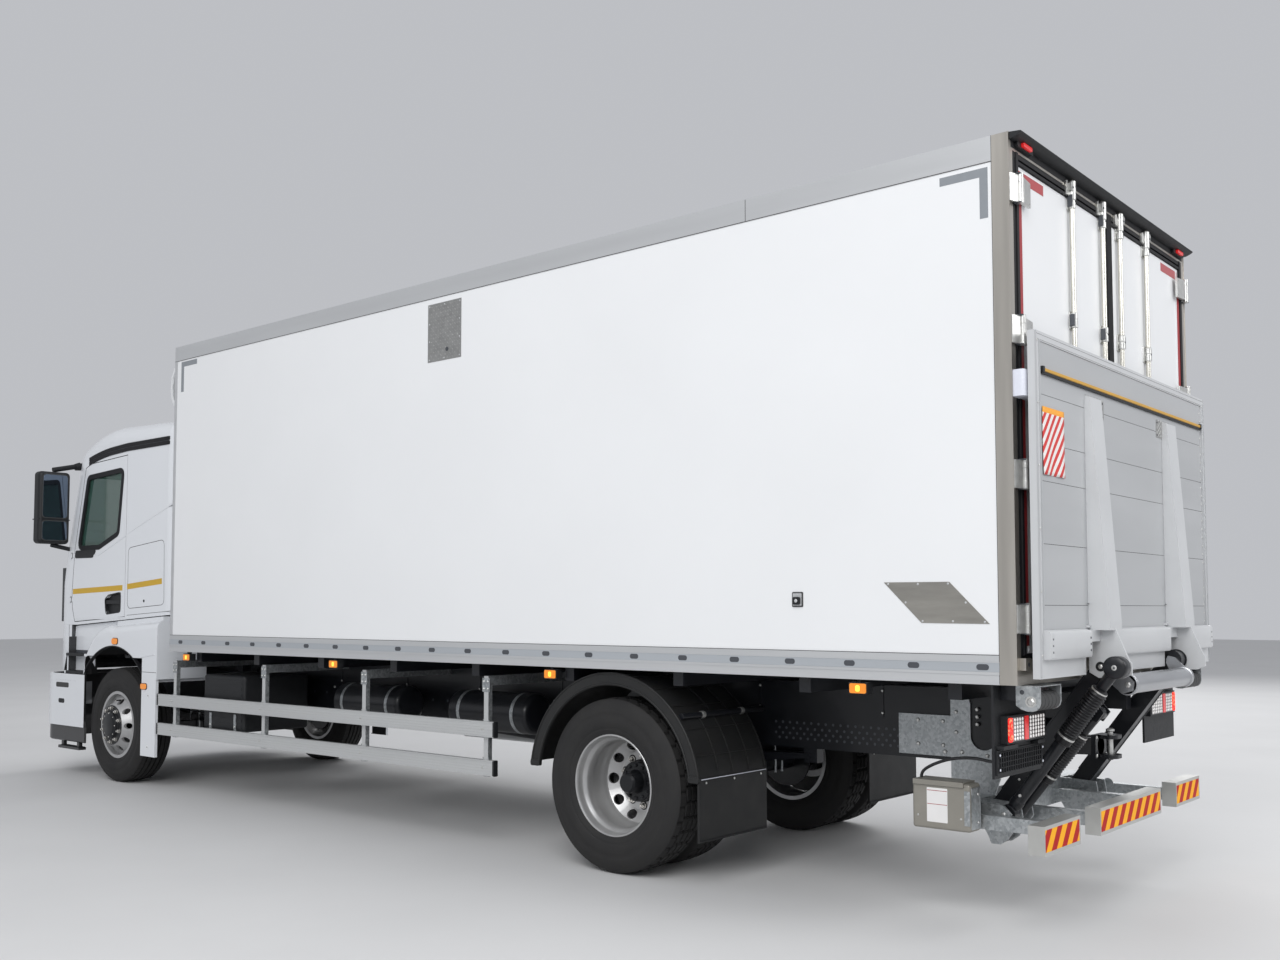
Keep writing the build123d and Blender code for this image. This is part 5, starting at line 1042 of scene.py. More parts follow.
def spun(x, y, rings, sides=80):
    """A closed section of radius and offset pairs, turned about a wheel's axis."""
    points = [(a, y + offset, b) for radius, offset in rings for a, b in circle(x, WHEEL_Z, radius, sides)]
    return points, hoops(len(rings), sides, closed=True)


def holed_cone(x, y, outer, inner, depth, steps=24):
    """A cone between two radius and offset pairs, with a round walled hand hole in each sector."""
    points, faces = [], []
    slant = hypot(outer[0] - inner[0], outer[1] - inner[1])
    middle_r = (outer[0] + inner[0]) / 2
    for sector in range(HAND_HOLES):
        centre = 2 * pi * sector / HAND_HOLES
        first = len(points)
        for ring in range(4):
            for i in range(steps):
                a, b = cos(2 * pi * i / steps), sin(2 * pi * i / steps)
                rim_u, rim_s = HOLE_R * a / middle_r, 0.5 + HOLE_R * b / slant
                edge = max(abs(a), abs(b))
                edge_u, edge_s = pi / HAND_HOLES * a / edge, 0.5 + 0.5 * b / edge
                share = (0, 0.5, 1, 1)[ring]
                u, s = edge_u + (rim_u - edge_u) * share, edge_s + (rim_s - edge_s) * share
                radius, offset = outer[0] + (inner[0] - outer[0]) * s, outer[1] + (inner[1] - outer[1]) * s
                offset -= depth if ring == 3 else 0
                points.append((x + radius * cos(centre + u), y + offset, WHEEL_Z + radius * sin(centre + u)))
        faces += hoops(4, steps, first)
    return points, faces


front_face, rear_face = FRONT_Y + 0.175, REAR_OUTER - 0.161
front_hub = nut_ring(FRONT_X, front_face) + [
    (hub_black, spun(FRONT_X, front_face, [
        (0.176, -0.002), (0.175, 0.004), (0.128, 0.005), (0.121, 0.012), (0.118, 0.0250), (0.104, 0.0300),
        (0.096, 0.036), (0.084, 0.040), (0.001, 0.042), (0.001, -0.002)])),
]
for i in range(CAP_BOLTS):
    turn = 2 * pi * i / CAP_BOLTS
    front_hub.append((nut_zinc, stud(FRONT_X + CAP_CIRCLE * cos(turn), front_face + 0.0295,
                                     WHEEL_Z + CAP_CIRCLE * sin(turn), 0.0065, 0.005, "Y", 6)))
DISH_OUTER, DISH_INNER = (0.2440, -0.1060), (0.1840, -0.1540)
rear_rim = [
    (silver_paint, spun(REAR_X, REAR_OUTER, [
        (0.2870, 0.1180), (0.2975, 0.1215), (0.2985, 0.1250), (0.2950, 0.1275), (0.2890, 0.1270),
        (0.2850, 0.1200), (0.2820, 0.1080), (0.2815, 0.0860), (0.2760, 0.0760), (0.2640, 0.0640),
        (0.2600, 0.0520), (0.2595, 0.0100), (0.2640, -0.0020), (0.2650, -0.0500), (0.2600, -0.0640),
        (0.2560, -0.0760), (0.2520, -0.0840), (0.2500, -0.0960), DISH_OUTER, (0.2500, -0.1160),
        (0.2720, -0.1000), (0.2740, -0.0600), (0.2740, 0.0000), (0.2700, 0.0300), (0.2720, 0.0600),
        (0.2860, 0.0860)])),
    (silver_paint, holed_cone(REAR_X, REAR_OUTER, DISH_OUTER, DISH_INNER, 0.012)),
    (silver_paint, spun(REAR_X, REAR_OUTER, [
        DISH_INNER, (0.1800, -0.1575), (0.1730, -0.1600), (0.1200, -0.1610), (0.1200, -0.1745),
        (0.1760, -0.1745), (0.1850, -0.1680)])),
    (silver_paint, spun(REAR_X, REAR_INNER, [
        (0.2860, 0.1190), (0.2980, 0.1220), (0.2980, 0.1270), (0.2740, 0.1250), (0.2620, 0.0600),
        (0.2600, -0.0600), (0.2720, -0.1260), (0.2980, -0.1270), (0.2980, -0.1220), (0.2860, -0.1190),
        (0.2760, -0.0600), (0.2760, 0.0600)])),
    (silver_paint, spun(REAR_X, REAR_INNER, [
        (0.2610, 0.0800), (0.2460, 0.1000), (0.1760, 0.1740), (0.1250, 0.1740), (0.1250, 0.1600),
        (0.1680, 0.1600), (0.2380, 0.0860), (0.2560, 0.0660)])),
]
drive_flange = rear_face + 0.0700
rear_hub = nut_ring(REAR_X, rear_face) + [
    (hub_black, spun(REAR_X, rear_face, [
        (0.0465, 0), (0.1280, 0), (0.1280, 0.020), (0.1200, 0.028), (0.1200, 0.064), (0.1140, 0.070),
        (0.0720, 0.070), (0.0660, 0.078), (0.0600, 0.150), (0.0500, 0.163), (0.0010, 0.1645),
        (0.0010, 0.1625), (0.0465, 0.1625)])),
    (hub_black, spun(REAR_X, REAR_INNER + 0.105,
                     [(0.0820, 0), (0.1180, 0), (0.1180, 0.084), (0.0820, 0.084)])),
]
for i in range(FLANGE_BOLTS):
    turn = 2 * pi * i / FLANGE_BOLTS
    rear_hub.append((hub_black, stud(REAR_X + FLANGE_CIRCLE * cos(turn), drive_flange - 0.001,
                                     WHEEL_Z + FLANGE_CIRCLE * sin(turn), 0.0125, 0.013, "Y", 6)))
for x, y, hub in ((FRONT_X, front_face - 0.012, front_hub), (REAR_X, rear_face + 0.03, rear_hub)):
    angle = 2 * pi * 3 / HAND_HOLES
    a, b = x + VALVE_CIRCLE * cos(angle), WHEEL_Z + VALVE_CIRCLE * sin(angle)
    hub += [(rubber, turned_between((a, y - 0.03, b), (a, y + 0.03, b),
                                    [(0.007, 0), (0.006, 0.03), (0.0045, 0.05)], 10)),
            (nut_zinc, turned_between((a, y + 0.012, b), (a, y + 0.04, b),
                                      [(0.0045, 0), (0.005, 0.012), (0.003, 0.014)], 10))]
for side in ("left", "right"):
    for name, body, stands_for, parts in (
        ("front_hub_and_nuts_", "front_wheel_", [], front_hub),
        ("rear_rims_and_hub_", "rear_wheels_", ["rear_rims_" + side], rear_rim + rear_hub),
    ):
        parts = parts if side == "left" else other_side(parts)
        make(name + side, body + side, parts, bevel=0.0008, smooth=45, stands_for=stands_for)

# Rear mudguards: black ribbed plastic half rounds with a rolled outer lip, each with a hanging spray flap of
# grooved rubber, clamped to painted tubes.
guard_plastic = Finish("black_mudguard_plastic", (0.010, 0.011, 0.012), 0.48, Specular_IOR_Level=0.35)
guard_plastic.uneven(8, 0.25, 0.1, tint=(0.020, 0.019, 0.018)).grain(500, 0.0008, 0.5)
dress(guard_plastic, "rear_mudguards")
GUARD_R = 0.655


def arch(x, z, inner, outer, start, end, y0, y1, steps=40):
    """A band bent round a wheel centre, from one angle to another, pushed across the truck."""
    turns = [radians(start + (end - start) * i / steps) for i in range(steps + 1)]
    outline = [(x + outer * cos(t), z + outer * sin(t)) for t in turns]
    outline += [(x + inner * cos(t), z + inner * sin(t)) for t in reversed(turns)]
    return prism(outline, "Y", y0, y1)


guard_parts = [(guard_plastic, arch(REAR_X, WHEEL_Z, GUARD_R - 0.001, GUARD_R + 0.007, 9, 171, y, y + 0.012))
               for y in (1.244, 0.920, 0.760, 0.602)]
for i in range(11):
    angle = 20 + 14 * i
    guard_parts.append((guard_plastic, arch(REAR_X, WHEEL_Z, GUARD_R, GUARD_R + 0.005, angle, angle + 1.2,
                                            0.604, 1.250, 2)))
for y in (0.760, 0.920, 1.060):
    guard_parts.append((guard_plastic, arch(REAR_X, WHEEL_Z, GUARD_R, GUARD_R + 0.006, 140, 169, y, y + 0.010,
                                            12)))
guard_parts += [
    (pale_cover, bar(REAR_X - GUARD_R - 0.006, REAR_X - GUARD_R - 0.002, 0.612, 1.236, 0.5990, 0.6030)),
    (rubber, bar(REAR_X - GUARD_R - 0.005, REAR_X - GUARD_R + 0.001, 0.606, 1.244, 0.262, 0.268)),
]
for y in (0.66, 0.925, 1.19):
    guard_parts.append((cast_zinc, stud(REAR_X - GUARD_R - 0.001, y, 0.580, 0.008, -0.005, "X", 6)))
for angle in (40, 140):
    reach = GUARD_R + 0.010
    x, z = REAR_X + reach * cos(radians(angle)), WHEEL_Z + reach * sin(radians(angle))
    guard_parts.append((black_paint, turned_between((x, 0.43, z), (x, 1.23, z), [(0.0182, 0), (0.0182, 0.80)],
                                                    20)))
    for y in (0.64, 1.02):
        guard_parts.append((cast_zinc, turned_between((x, y, z), (x, y + 0.03, z),
                                                      [(0.0215, 0), (0.0215, 0.03)], 20)))
make("mudguard_ribs_and_flaps", "chassis", pair(guard_parts), bevel=0.001)
LIP_FACE, LIP_IN, LIP_ENDS = 1.2545, 0.061, (8.8, 171.2)


def guard_turn(radius, start, end, steps=40):
    turns = [radians(start + (end - start) * i / steps) for i in range(steps + 1)]
    return [(REAR_X + radius * cos(t), LIP_FACE, WHEEL_Z + radius * sin(t)) for t in turns]


edge_run = guard_turn(GUARD_R + 0.001, *LIP_ENDS) + guard_turn(GUARD_R - LIP_IN, *LIP_ENDS[::-1])
rolled = []
for start, end in zip(edge_run, edge_run[1:] + edge_run[:1]):
    length = (Vector(end) - Vector(start)).length
    rolled.append((guard_plastic, turned_between(start, end, [(0.0062, -0.001), (0.0062, length + 0.001)],
                                                 10)))
for end in LIP_ENDS:
    x, _, z = guard_turn(GUARD_R - LIP_IN / 2, end, end, 1)[0]
    rolled.append((guard_plastic, plate(x - 0.038, x + 0.038, z - 0.026, z + 0.012, 0.012, "Y", 1.2360,
                                        1.2600)))
make("mudguard_rolled_edges", "chassis", pair(rolled), smooth=60)

# Side guards: two drawn aluminium planks on each side, fluted along their length and closed by black end
# caps, on galvanised posts whose hooks and bolts show near the top.
plank_aluminium = Finish("fluted_plank_aluminium", (0.60, 0.61, 0.61), 0.40, 0.5)
plank_aluminium.uneven(6, 0.06, 0.06, (0.08, 1, 1)).grain(900, 0.0003, 0.3, (0.03, 1, 1))
dress(plank_aluminium, "side_guards")
GUARD_REAR, GUARD_FRONT, PLANK_Y = 3.510, 7.700, 1.250
side_parts = []
for low, high in ((0.725, 0.823), (0.480, 0.578)):
    for share in (0.14, 0.32, 0.50, 0.68, 0.86):
        z = low + share * (high - low)
        side_parts.append((plank_aluminium, bar(GUARD_REAR + 0.003, GUARD_FRONT - 0.003, PLANK_Y - 0.001,
                                                PLANK_Y + 0.0016, z - 0.0035, z + 0.0035)))
    for z0, z1 in ((low, low + 0.008), (high - 0.008, high)):
        side_parts.append((plank_aluminium, bar(GUARD_REAR + 0.003, GUARD_FRONT - 0.003, PLANK_Y - 0.001,
                                                PLANK_Y + 0.0025, z0, z1)))
    for x in (GUARD_REAR - 0.004, GUARD_FRONT - 0.012):
        side_parts.append((black_moulding, plate(1.2185, 1.2535, low - 0.002, high + 0.002, 0.008, "X", x,
                                                 x + 0.016)))
for x in (GUARD_REAR + 0.108, GUARD_REAR + 1.380, GUARD_FRONT - 1.552, GUARD_FRONT - 0.234):
    side_parts += [
        (zinc, bar(x - 0.0212, x + 0.0212, 1.1848, 1.2192, 0.468, 1.1125)),
        (zinc, bar(x - 0.0205, x + 0.0205, 0.4305, 1.1850, 1.0515, 1.1125)),
        (zinc, bar(x - 0.034, x + 0.034, 1.2192, 1.2225, 1.010, 1.100)),
    ]
    for z in (0.530, 0.774):
        side_parts += [(zinc, bar(x - 0.030, x + 0.030, 1.2150, 1.2195, z - 0.060, z + 0.060)),
                       (cast_zinc, stud(x, PLANK_Y + 0.0005, z, 0.0085, 0.005, "Y", 12))]
    for z in (1.030, 1.078):
        side_parts += [(cast_zinc, stud(x - 0.018, 1.2225, z, 0.0085, 0.007, "Y", 6)),
                       (cast_zinc, stud(x + 0.018, 1.2225, z, 0.0085, 0.007, "Y", 6))]
make("guard_flutes_and_posts", "chassis", pair(side_parts), bevel=0.0008)

# Side marker lamps: amber lenses in black plastic housings under the body edge, each with a lit middle and a
# reflector.
amber_lens = Finish("amber_lens", (0.75, 0.22, 0.01), 0.2, Coat_Weight=0.8, Emission_Strength=0.25)
amber_lens.set("Emission Color", (1.0, 0.35, 0.02, 1))
amber_lens.cells(150.0, 0.001, 0.4)
amber_lit = Finish("lit_amber_middle", (0.95, 0.45, 0.05), 0.2, Emission_Strength=1.6)
amber_lit.set("Emission Color", (1.0, 0.45, 0.05, 1))
amber_lit.uneven(60, 0.05, 0.03)
dress(black_moulding, "side_lamps")
lamp_parts = []
for x in (0.831, 2.970, 5.156, 7.166):
    lamp_parts += [
        (black_moulding, plate(x - 0.0515, x + 0.0515, 1.1205, 1.1775, 0.010, "Y", 1.2900, 1.2935)),
        (amber_lens, plate(x - 0.047, x + 0.047, 1.1245, 1.1735, 0.009, "Y", 1.2930, 1.2975)),
        (amber_lit, plate(x - 0.013, x + 0.013, 1.1330, 1.1650, 0.009, "Y", 1.2973, 1.2985)),
    ]
make("side_marker_lamps", "chassis", pair(lamp_parts), bevel=0.0008)

# Chassis: pressed channel rails, cross members and under-body beams in black paint, with bolts and rows of
# holes drawn as dark discs of painted shade. The towing jaw at the tail is a black forging with a bright pin.
dress(black_paint, "chassis_frame", "subframe", "front_axle", "rear_axle", "leaf_springs", "knuckle_left",
      "knuckle_right")
RAIL_FACE, HOLE_FACE = 0.4300, 0.4305
chassis_parts = []
# The holes are not cut: each is a dark disc of painted shade on the rail's face.
for row, z in enumerate((0.774, 0.802, 0.832, 0.866)):
    for i in range(17):
        x = 1.080 + 0.050 * i + 0.025 * (row % 2)
        chassis_parts.append((dark_fittings_and_shade, prism(circle(x, z, 0.0085, 12), "Y", RAIL_FACE, HOLE_FACE)))
for i in range(30):
    x = 3.20 + 0.170 * i
    chassis_parts.append((dark_fittings_and_shade, prism(circle(x, 0.850, 0.011, 14), "Y", RAIL_FACE, HOLE_FACE)))
    if i % 3 == 0:
        chassis_parts += [(cast_zinc, stud(x + 0.06, RAIL_FACE, z, 0.0115, 0.009, "Y", 6))
                          for z in (0.780, 0.900)]
for x, z in ((0.545, 0.760), (0.690, 0.770), (0.790, 0.765)):
    chassis_parts.append((cast_zinc, stud(x, 0.4422, z, 0.013, 0.009, "Y", 6)))
for i in range(9):
    x = 0.335 + i * (BODY_LENGTH - 0.700) / 8
    chassis_parts.append((black_paint, bar(x - 0.006, x + 0.006, HOLE_FACE, 0.4345, 0.930, 1.1120)))
    for z in (0.955, 1.080):
        chassis_parts.append((cast_zinc, stud(x, 0.4345, z, 0.009, 0.007, "Y", 6)))
for axle_x, seat in ((FRONT_X, 0.502), (REAR_X, 0.587)):
    for dx in (-0.075, 0.075):
        for y in (0.351, 0.429):
            chassis_parts.append((zinc, turned_between((axle_x + dx, y, seat - 0.15),
                                                       (axle_x + dx, y, seat + 0.10),
                                                       [(0.009, 0), (0.009, 0.25)], 12)))
        chassis_parts.append((black_paint, bar(axle_x + dx - 0.012, axle_x + dx + 0.012, 0.342, 0.438,
                                               seat + 0.078, seat + 0.090)))
    for dx in (-0.42, 0.42):
        chassis_parts.append((black_paint, bar(axle_x + dx - 0.018, axle_x + dx + 0.018, 0.342, 0.438,
                                               seat + 0.045, seat + 0.105)))
make("chassis_bolts", "chassis", pair(chassis_parts), bevel=0.0006)
jaw_parts = [
    (cast_zinc, turned_between((0.050, 0, 0.738), (0.050, 0, 0.905), [
        (0.010, 0), (0.0148, 0.004), (0.0148, 0.150), (0.022, 0.153), (0.022, 0.163), (0.014, 0.167)], 20)),
    (black_paint, turned_between((0.100, 0, 0.810), (0.128, 0, 0.810), [(0.052, 0), (0.052, 0.028)], 28)),
]
for y in (-0.066, 0.066):
    for z in (0.762, 0.858):
        jaw_parts.append((cast_zinc, stud(0.100, y, z, 0.011, -0.008, "X", 6)))
make("towing_jaw_pin", "chassis", jaw_parts, bevel=0.0008)
for side in ("left", "right"):
    knuckle_parts = [(black_paint, spun(FRONT_X, 0.965, [
        (0.150, 0), (0.196, 0), (0.199, 0.004), (0.199, 0.012), (0.150, 0.014)]))]
    if side == "right":
        knuckle_parts = other_side(knuckle_parts)
    make("brake_shield_rim_" + side, "steer_" + side, knuckle_parts)

# Under the body: engine block, steel air tanks with straps, ribbed black battery box, strapped aluminium fuel
# tank and a grey exhaust box with a slotted heat shield.
engine_grey = Finish("cast_engine_grey", (0.10, 0.105, 0.11), 0.62, 0.2)
engine_grey.uneven(7, 0.25, 0.1).grain(120, 0.0015, 0.5)
tank_aluminium = Finish("brushed_tank_aluminium", (0.58, 0.59, 0.60), 0.32, 0.85)
tank_aluminium.uneven(5, 0.06, 0.07, (1, 0.2, 1)).grain(800, 0.0003, 0.3, (1, 0.04, 1))
exhaust_steel = Finish("dull_exhaust_steel", (0.30, 0.29, 0.27), 0.5, 0.7)
exhaust_steel.uneven(9, 0.15, 0.1).grain(300, 0.0006, 0.4)
dress(engine_grey, "engine_block")
dress(tank_aluminium, "fuel_tank")
dress(black_paint, "air_tanks")
dress(black_moulding, "battery_box")
dress(exhaust_steel, "exhaust_box")
under_parts = []
for i in range(8):
    z = 0.590 + 0.050 * i
    under_parts.append((black_moulding, bar(6.530, 7.070, 1.1690, 1.1730, z, z + 0.026)))
for x in (6.620, 6.980):
    under_parts += [(zinc, bar(x - 0.016, x + 0.016, 1.1690, 1.1765, 0.560, 0.700)),
                    (cast_zinc, stud(x, 1.1765, 0.60, 0.010, 0.007, "Y", 6))]
for start in (3.650, 5.000):
    for x in (start + 0.12, start + 0.66):
        under_parts.append((zinc, turned_between((x, 0.700, 0.830), (x + 0.03, 0.700, 0.830),
                                                 [(0.1412, 0), (0.1412, 0.03)], 40)))
    under_parts.append((black_paint, turned_between((start + 0.002, 0.700, 0.830),
                                                    (start + 0.798, 0.700, 0.830),
                                                    [(0.095, -0.001), (0.095, 0.799)], 32)))
for i in range(9):
    z = 0.560 + 0.052 * i
    under_parts.append((exhaust_steel, bar(6.360, 7.090, -1.1835, -1.1795, z, z + 0.030)))
for x in (4.520, 5.100, 5.680):
    under_parts += [(zinc, bar(x - 0.022, x + 0.022, -1.1825, -1.1795, 0.552, 0.890)),
                    (cast_zinc, stud(x, -1.1825, 0.56, 0.010, -0.007, "Y", 6))]
under_parts.append((black_moulding, turned_between((4.420, -1.120, 0.960), (4.420, -1.190, 1.030),
                                                   [(0.045, 0), (0.045, 0.075), (0.038, 0.085)], 28)))
make("tank_straps_and_shields", "chassis", under_parts, bevel=0.0008)

# Cooling unit on the front wall: white glass-fibre housing whose sides carry a grey sheet of painted shade,
# three dark louvred intakes in front, a rubber line on the wall and two small latches on each side.
unit_white = Finish("cooling_unit_white", (0.76, 0.77, 0.78), 0.35, Coat_Weight=0.3)
unit_white.uneven(2, 0.02, 0.05).grain(300, 0.0004, 0.25)
# Grey painted as shade on the unit's white sides, and the real grey of the trim inside the cab.
shade_and_trim_grey = Finish("unit_side_shade_and_trim_grey", (0.36, 0.37, 0.38), 0.5)
shade_and_trim_grey.uneven(5, 0.06, 0.06).grain(400, 0.0005, 0.3)
dress(unit_white, "fridge_unit")
unit_side = [(7.463, 3.327), (7.760, 3.327), (7.812, 3.362), (7.840, 3.430), (7.844, 3.520), (7.832, 3.590),
             (7.803, 3.636), (7.745, 3.678), (7.463, 3.678)]
# The grey sheet on each side of the housing is painted shade on the white glass fibre.
unit_parts = [(shade_and_trim_grey, prism(unit_side, "Y", 1.0795, 1.0815)),
              (rubber, bar(7.424, 7.432, 1.0885, 1.0925, 3.290, 3.718)),
              (seam_black, bar(7.430, 7.765, 1.0880, 1.0908, 3.7000, 3.7050))]
for z in (3.40, 3.60):
    unit_parts += [(black_moulding, plate(7.480, 7.530, z - 0.018, z + 0.018, 0.006, "Y", 1.0815, 1.0870)),
                   (cast_zinc, stud(7.505, 1.0870, z, 0.007, 0.003, "Y", 12))]
unit_parts = pair(unit_parts)
for y in (-0.7267, 0.0, 0.7267):
    unit_parts.append((dark_fittings_and_shade, bar(7.8255, 7.8285, y - 0.320, y + 0.320, 3.475, 3.595)))
    for i in range(6):
        z = 3.482 + 0.019 * i
        slat = [(7.828, z), (7.852, z + 0.004), (7.852, z + 0.008), (7.828, z + 0.012)]
        unit_parts.append((black_moulding, prism(slat, "Y", y - 0.318, y + 0.318)))
make("cooling_unit_details", "chassis", unit_parts, bevel=0.0008)

# Cab: pressed steel shell and doors in gloss white with dark trim inside, black rubber in every door gap and
# round each window, and a black rain gutter that follows the roof.


class Paint(Finish):
    """White gloss outside; what faces the given middle is dark lining."""

    def lined(self, middle, lining, extra=None):
        spot = self.node("ShaderNodeTexCoord", output=3)
        way = self.node("ShaderNodeTexCoord", output=1)
        reach = self.node("ShaderNodeVectorMath", {"operation": "SUBTRACT"}, {0: spot, 1: middle})
        facing = self.node("ShaderNodeVectorMath", {"operation": "DOT_PRODUCT"}, {0: way, 1: reach}, output=1)
        dark = facing < 0
        if extra:
            dark = self.node("ShaderNodeMath", {"operation": "MAXIMUM"}, {0: dark, 1: extra(self)})
        cloud = self.noise(1.2)
        paint = self.blend(cloud, (*(c * 0.97 for c in self.colour), 1), (*self.colour, 1))
        self.feed("Base Color", self.blend(dark, paint, (*lining, 1)))
        self.feed("Roughness", dark * 0.4 + self.roughness)
        return self


CAB_WHITE, CAB_MIDDLE = (0.76, 0.78, 0.81), (8.75 + REAR, 0, 2.25)
cab_paint = Paint("white_cab_paint", CAB_WHITE, 0.2, Coat_Weight=0.7)
cab_paint.lined(CAB_MIDDLE, (0.06, 0.062, 0.066)).grain(3, 0.002, 0.06)
dress(cab_paint, "cab_shell", "cab_door_left", "cab_door_right")
lower_paint = Paint("white_skirt_paint", CAB_WHITE, 0.2, Coat_Weight=0.7)
lower_paint.lined(CAB_MIDDLE, (0.03, 0.031, 0.033))
dress(lower_paint, "grille_panel")
CAB_SIDE = 1.150


def softened(points, radius, steps=6):
    """The same closed outline with every corner turned into an arc of this radius."""
    outline = []
    for i, corner in enumerate(points):
        corner = Vector(corner)
        before, after = (Vector(points[i - 1]) - corner), (Vector(points[(i + 1) % len(points)]) - corner)
        half = before.angle(after) / 2
        cut = min(radius * cos(half) / sin(half), before.length * 0.48, after.length * 0.48)
        start, end = corner + before.normalized() * cut, corner + after.normalized() * cut
        for k in range(steps + 1):
            t = k / steps
            outline.append(tuple(start * (1 - t) ** 2 + corner * 2 * t * (1 - t) + end * t ** 2))
    return outline


def strip(points, width, y0, y1, closed=False):
    """A band of even width along a run of X and Z points, lying on the truck's side."""
    points = [Vector(p) for p in points]
    count = len(points)
    left, right = [], []
    for i, point in enumerate(points):
        before = points[(i - 1) % count] if closed or i else None
        after = points[(i + 1) % count] if closed or i < count - 1 else None
        spans = [(a, b) for a, b in ((before, point), (point, after)) if a is not None and b is not None]
        ways = [(b - a).normalized() for a, b in spans]
        normal = sum((Vector((-way.y, way.x)) for way in ways), Vector((0, 0))).normalized()
        reach = width / 2 / max(0.35, normal.dot(Vector((-ways[0].y, ways[0].x))))
        left.append(tuple(point + normal * reach))
        right.append(tuple(point - normal * reach))
    if not closed:
        return prism(left + right[::-1], "Y", y0, y1)
    mesh = [(a, y, b) for y in (y0, y1) for ring in (left, right) for a, b in ring]
    faces = []
    for i in range(count):
        j = (i + 1) % count
        faces += [(i, j, count + j, count + i), (2 * count + i, 3 * count + i, 3 * count + j, 2 * count + j),
                  (i, 2 * count + i, 2 * count + j, j), (count + i, count + j, 3 * count + j, 3 * count + i)]
    return mesh, faces


def on_cab(points, width, lift, sink=0.004):
    """A band laid on the curved side of the cab shell, wherever its X and Z points lie."""
    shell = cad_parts["cab_shell"]
    rows = []
    for (x, z), share in ((p, s) for p in points for s in (-0.5, -0.17, 0.17, 0.5)):
        hit, spot, _, _ = shell.ray_cast(Vector((x + REAR, 2.0, z + share * width)), Vector((0, -1, 0)))
        rows.append((x, spot.y if hit else CAB_SIDE, z + share * width))
    count = len(points)
    mesh = [(x, y + lift, z) for x, y, z in rows] + [(x, y - sink, z) for x, y, z in rows]
    faces = []
    for i in range(count - 1):
        for k in range(3):
            a, b = 4 * i + k, 4 * (i + 1) + k
            faces += [(a, b, b + 1, a + 1),
                      (4 * count + a, 4 * count + a + 1, 4 * count + b + 1, 4 * count + b)]
        for k in (0, 3):
            a, b = 4 * i + k, 4 * (i + 1) + k
            faces.append((a, 4 * count + a, 4 * count + b, b))
    for i in (0, count - 1):
        a = 4 * i
        faces.append((a, a + 1, a + 2, a + 3, 4 * count + a + 3, 4 * count + a + 2, 4 * count + a + 1,
                      4 * count + a))
    return mesh, faces


DOOR = [(8.490, 1.475), (9.450, 1.425), (9.505, 1.560), (9.520, 1.700), (9.480, 2.120), (9.290, 2.890),
        (9.180, 2.925), (8.490, 2.955)]
WINDOW = [(8.640, 2.240), (9.000, 2.125), (9.400, 2.128), (9.235, 2.794), (8.566, 2.823)]
gutter = [(7.700 + 0.08 * i, 3.022 - 0.004 * max(0, i - 10) - 0.0012 * max(0, i - 13) ** 2)
          for i in range(20)]
cab_trim = [
    (rubber, strip(softened(DOOR, 0.03), 0.016, 1.104, 1.138, closed=True)),
    (rubber, on_cab([(x, z + 0.021) for x, z in gutter], 0.034, 0.007)),
    (rubber, on_cab([(x, z - 0.018) for x, z in gutter], 0.034, 0.007)),
    (dark_fittings_and_shade, on_cab(gutter, 0.012, 0.003)),
    (black_moulding, prism(softened([(9.120, 2.030), (9.478, 2.034), (9.455, 2.108), (9.040, 2.104)], 0.030),
                           "Y", 1.1480, 1.1545)),
]
cab_foot = [(9.506, 1.225), (9.580, 1.225), (9.580, 1.462), (9.530, 1.462), (9.506, 1.420)]
cab_trim.append((cab_paint, prism(softened(cab_foot, 0.012), "Y", 1.110, 1.1470)))
make("door_rubbers_and_gutter", "cab", pair(cab_trim), bevel=0.001)

# Doors: yellow reflective strip, black handle pocket with a painted grip and a lock, and a pressed crease
# under the glass. The side locker behind the door has its own lid and lock, and all lettering is left off.
yellow_reflex = Finish("yellow_reflective_strip", (0.60, 0.36, 0.006), 0.4, Coat_Weight=0.2)
yellow_reflex.cells(260.0, 0.0004, 0.3)
REFLEX_Y, SEAM_Y = (1.1499, 1.1507), (1.1470, 1.1504)
handle = softened([(8.570, 1.522), (8.840, 1.500), (8.866, 1.640), (8.800, 1.676), (8.570, 1.702)], 0.035)
door_parts = [
    (rubber, strip(softened(WINDOW, 0.060), 0.046, 1.1370, 1.1528, closed=True)),
    (black_moulding, prism(handle, "Y", 1.1215, 1.1235)),
    (black_moulding, strip(handle, 0.010, 1.1230, 1.1515, closed=True)),
    (black_moulding, bar(8.588, 8.842, 1.1230, 1.1475, 1.5950, 1.6290)),
    (cast_zinc, stud(8.610, 1.1235, 1.560, 0.011, 0.004, "Y", 20)),
    (yellow_reflex, strip([(8.540, 1.742), (9.500, 1.716)], 0.050, *REFLEX_Y)),
    (cab_paint, strip([(8.500, 2.215), (8.640, 2.170), (9.000, 2.055), (9.470, 2.040)], 0.012,
                      1.1490, 1.1530)),
    (cab_paint, strip([(8.500, 1.470), (9.440, 1.452)], 0.014, 1.1490, 1.1520)),
    (shade_and_trim_grey, bar(8.600, 9.330, 1.0920, 1.0945, 1.520, 2.080)),
    (black_moulding, bar(8.640, 9.050, 1.0600, 1.0930, 1.780, 1.830)),
]
for side in ("left", "right"):
    parts = door_parts if side == "left" else other_side(door_parts)
    make("door_details_" + side, "door_" + side, parts, bevel=0.0012)
locker = softened([(8.446, 2.100), (7.820, 2.156), (7.804, 1.586), (8.444, 1.552)], 0.055)
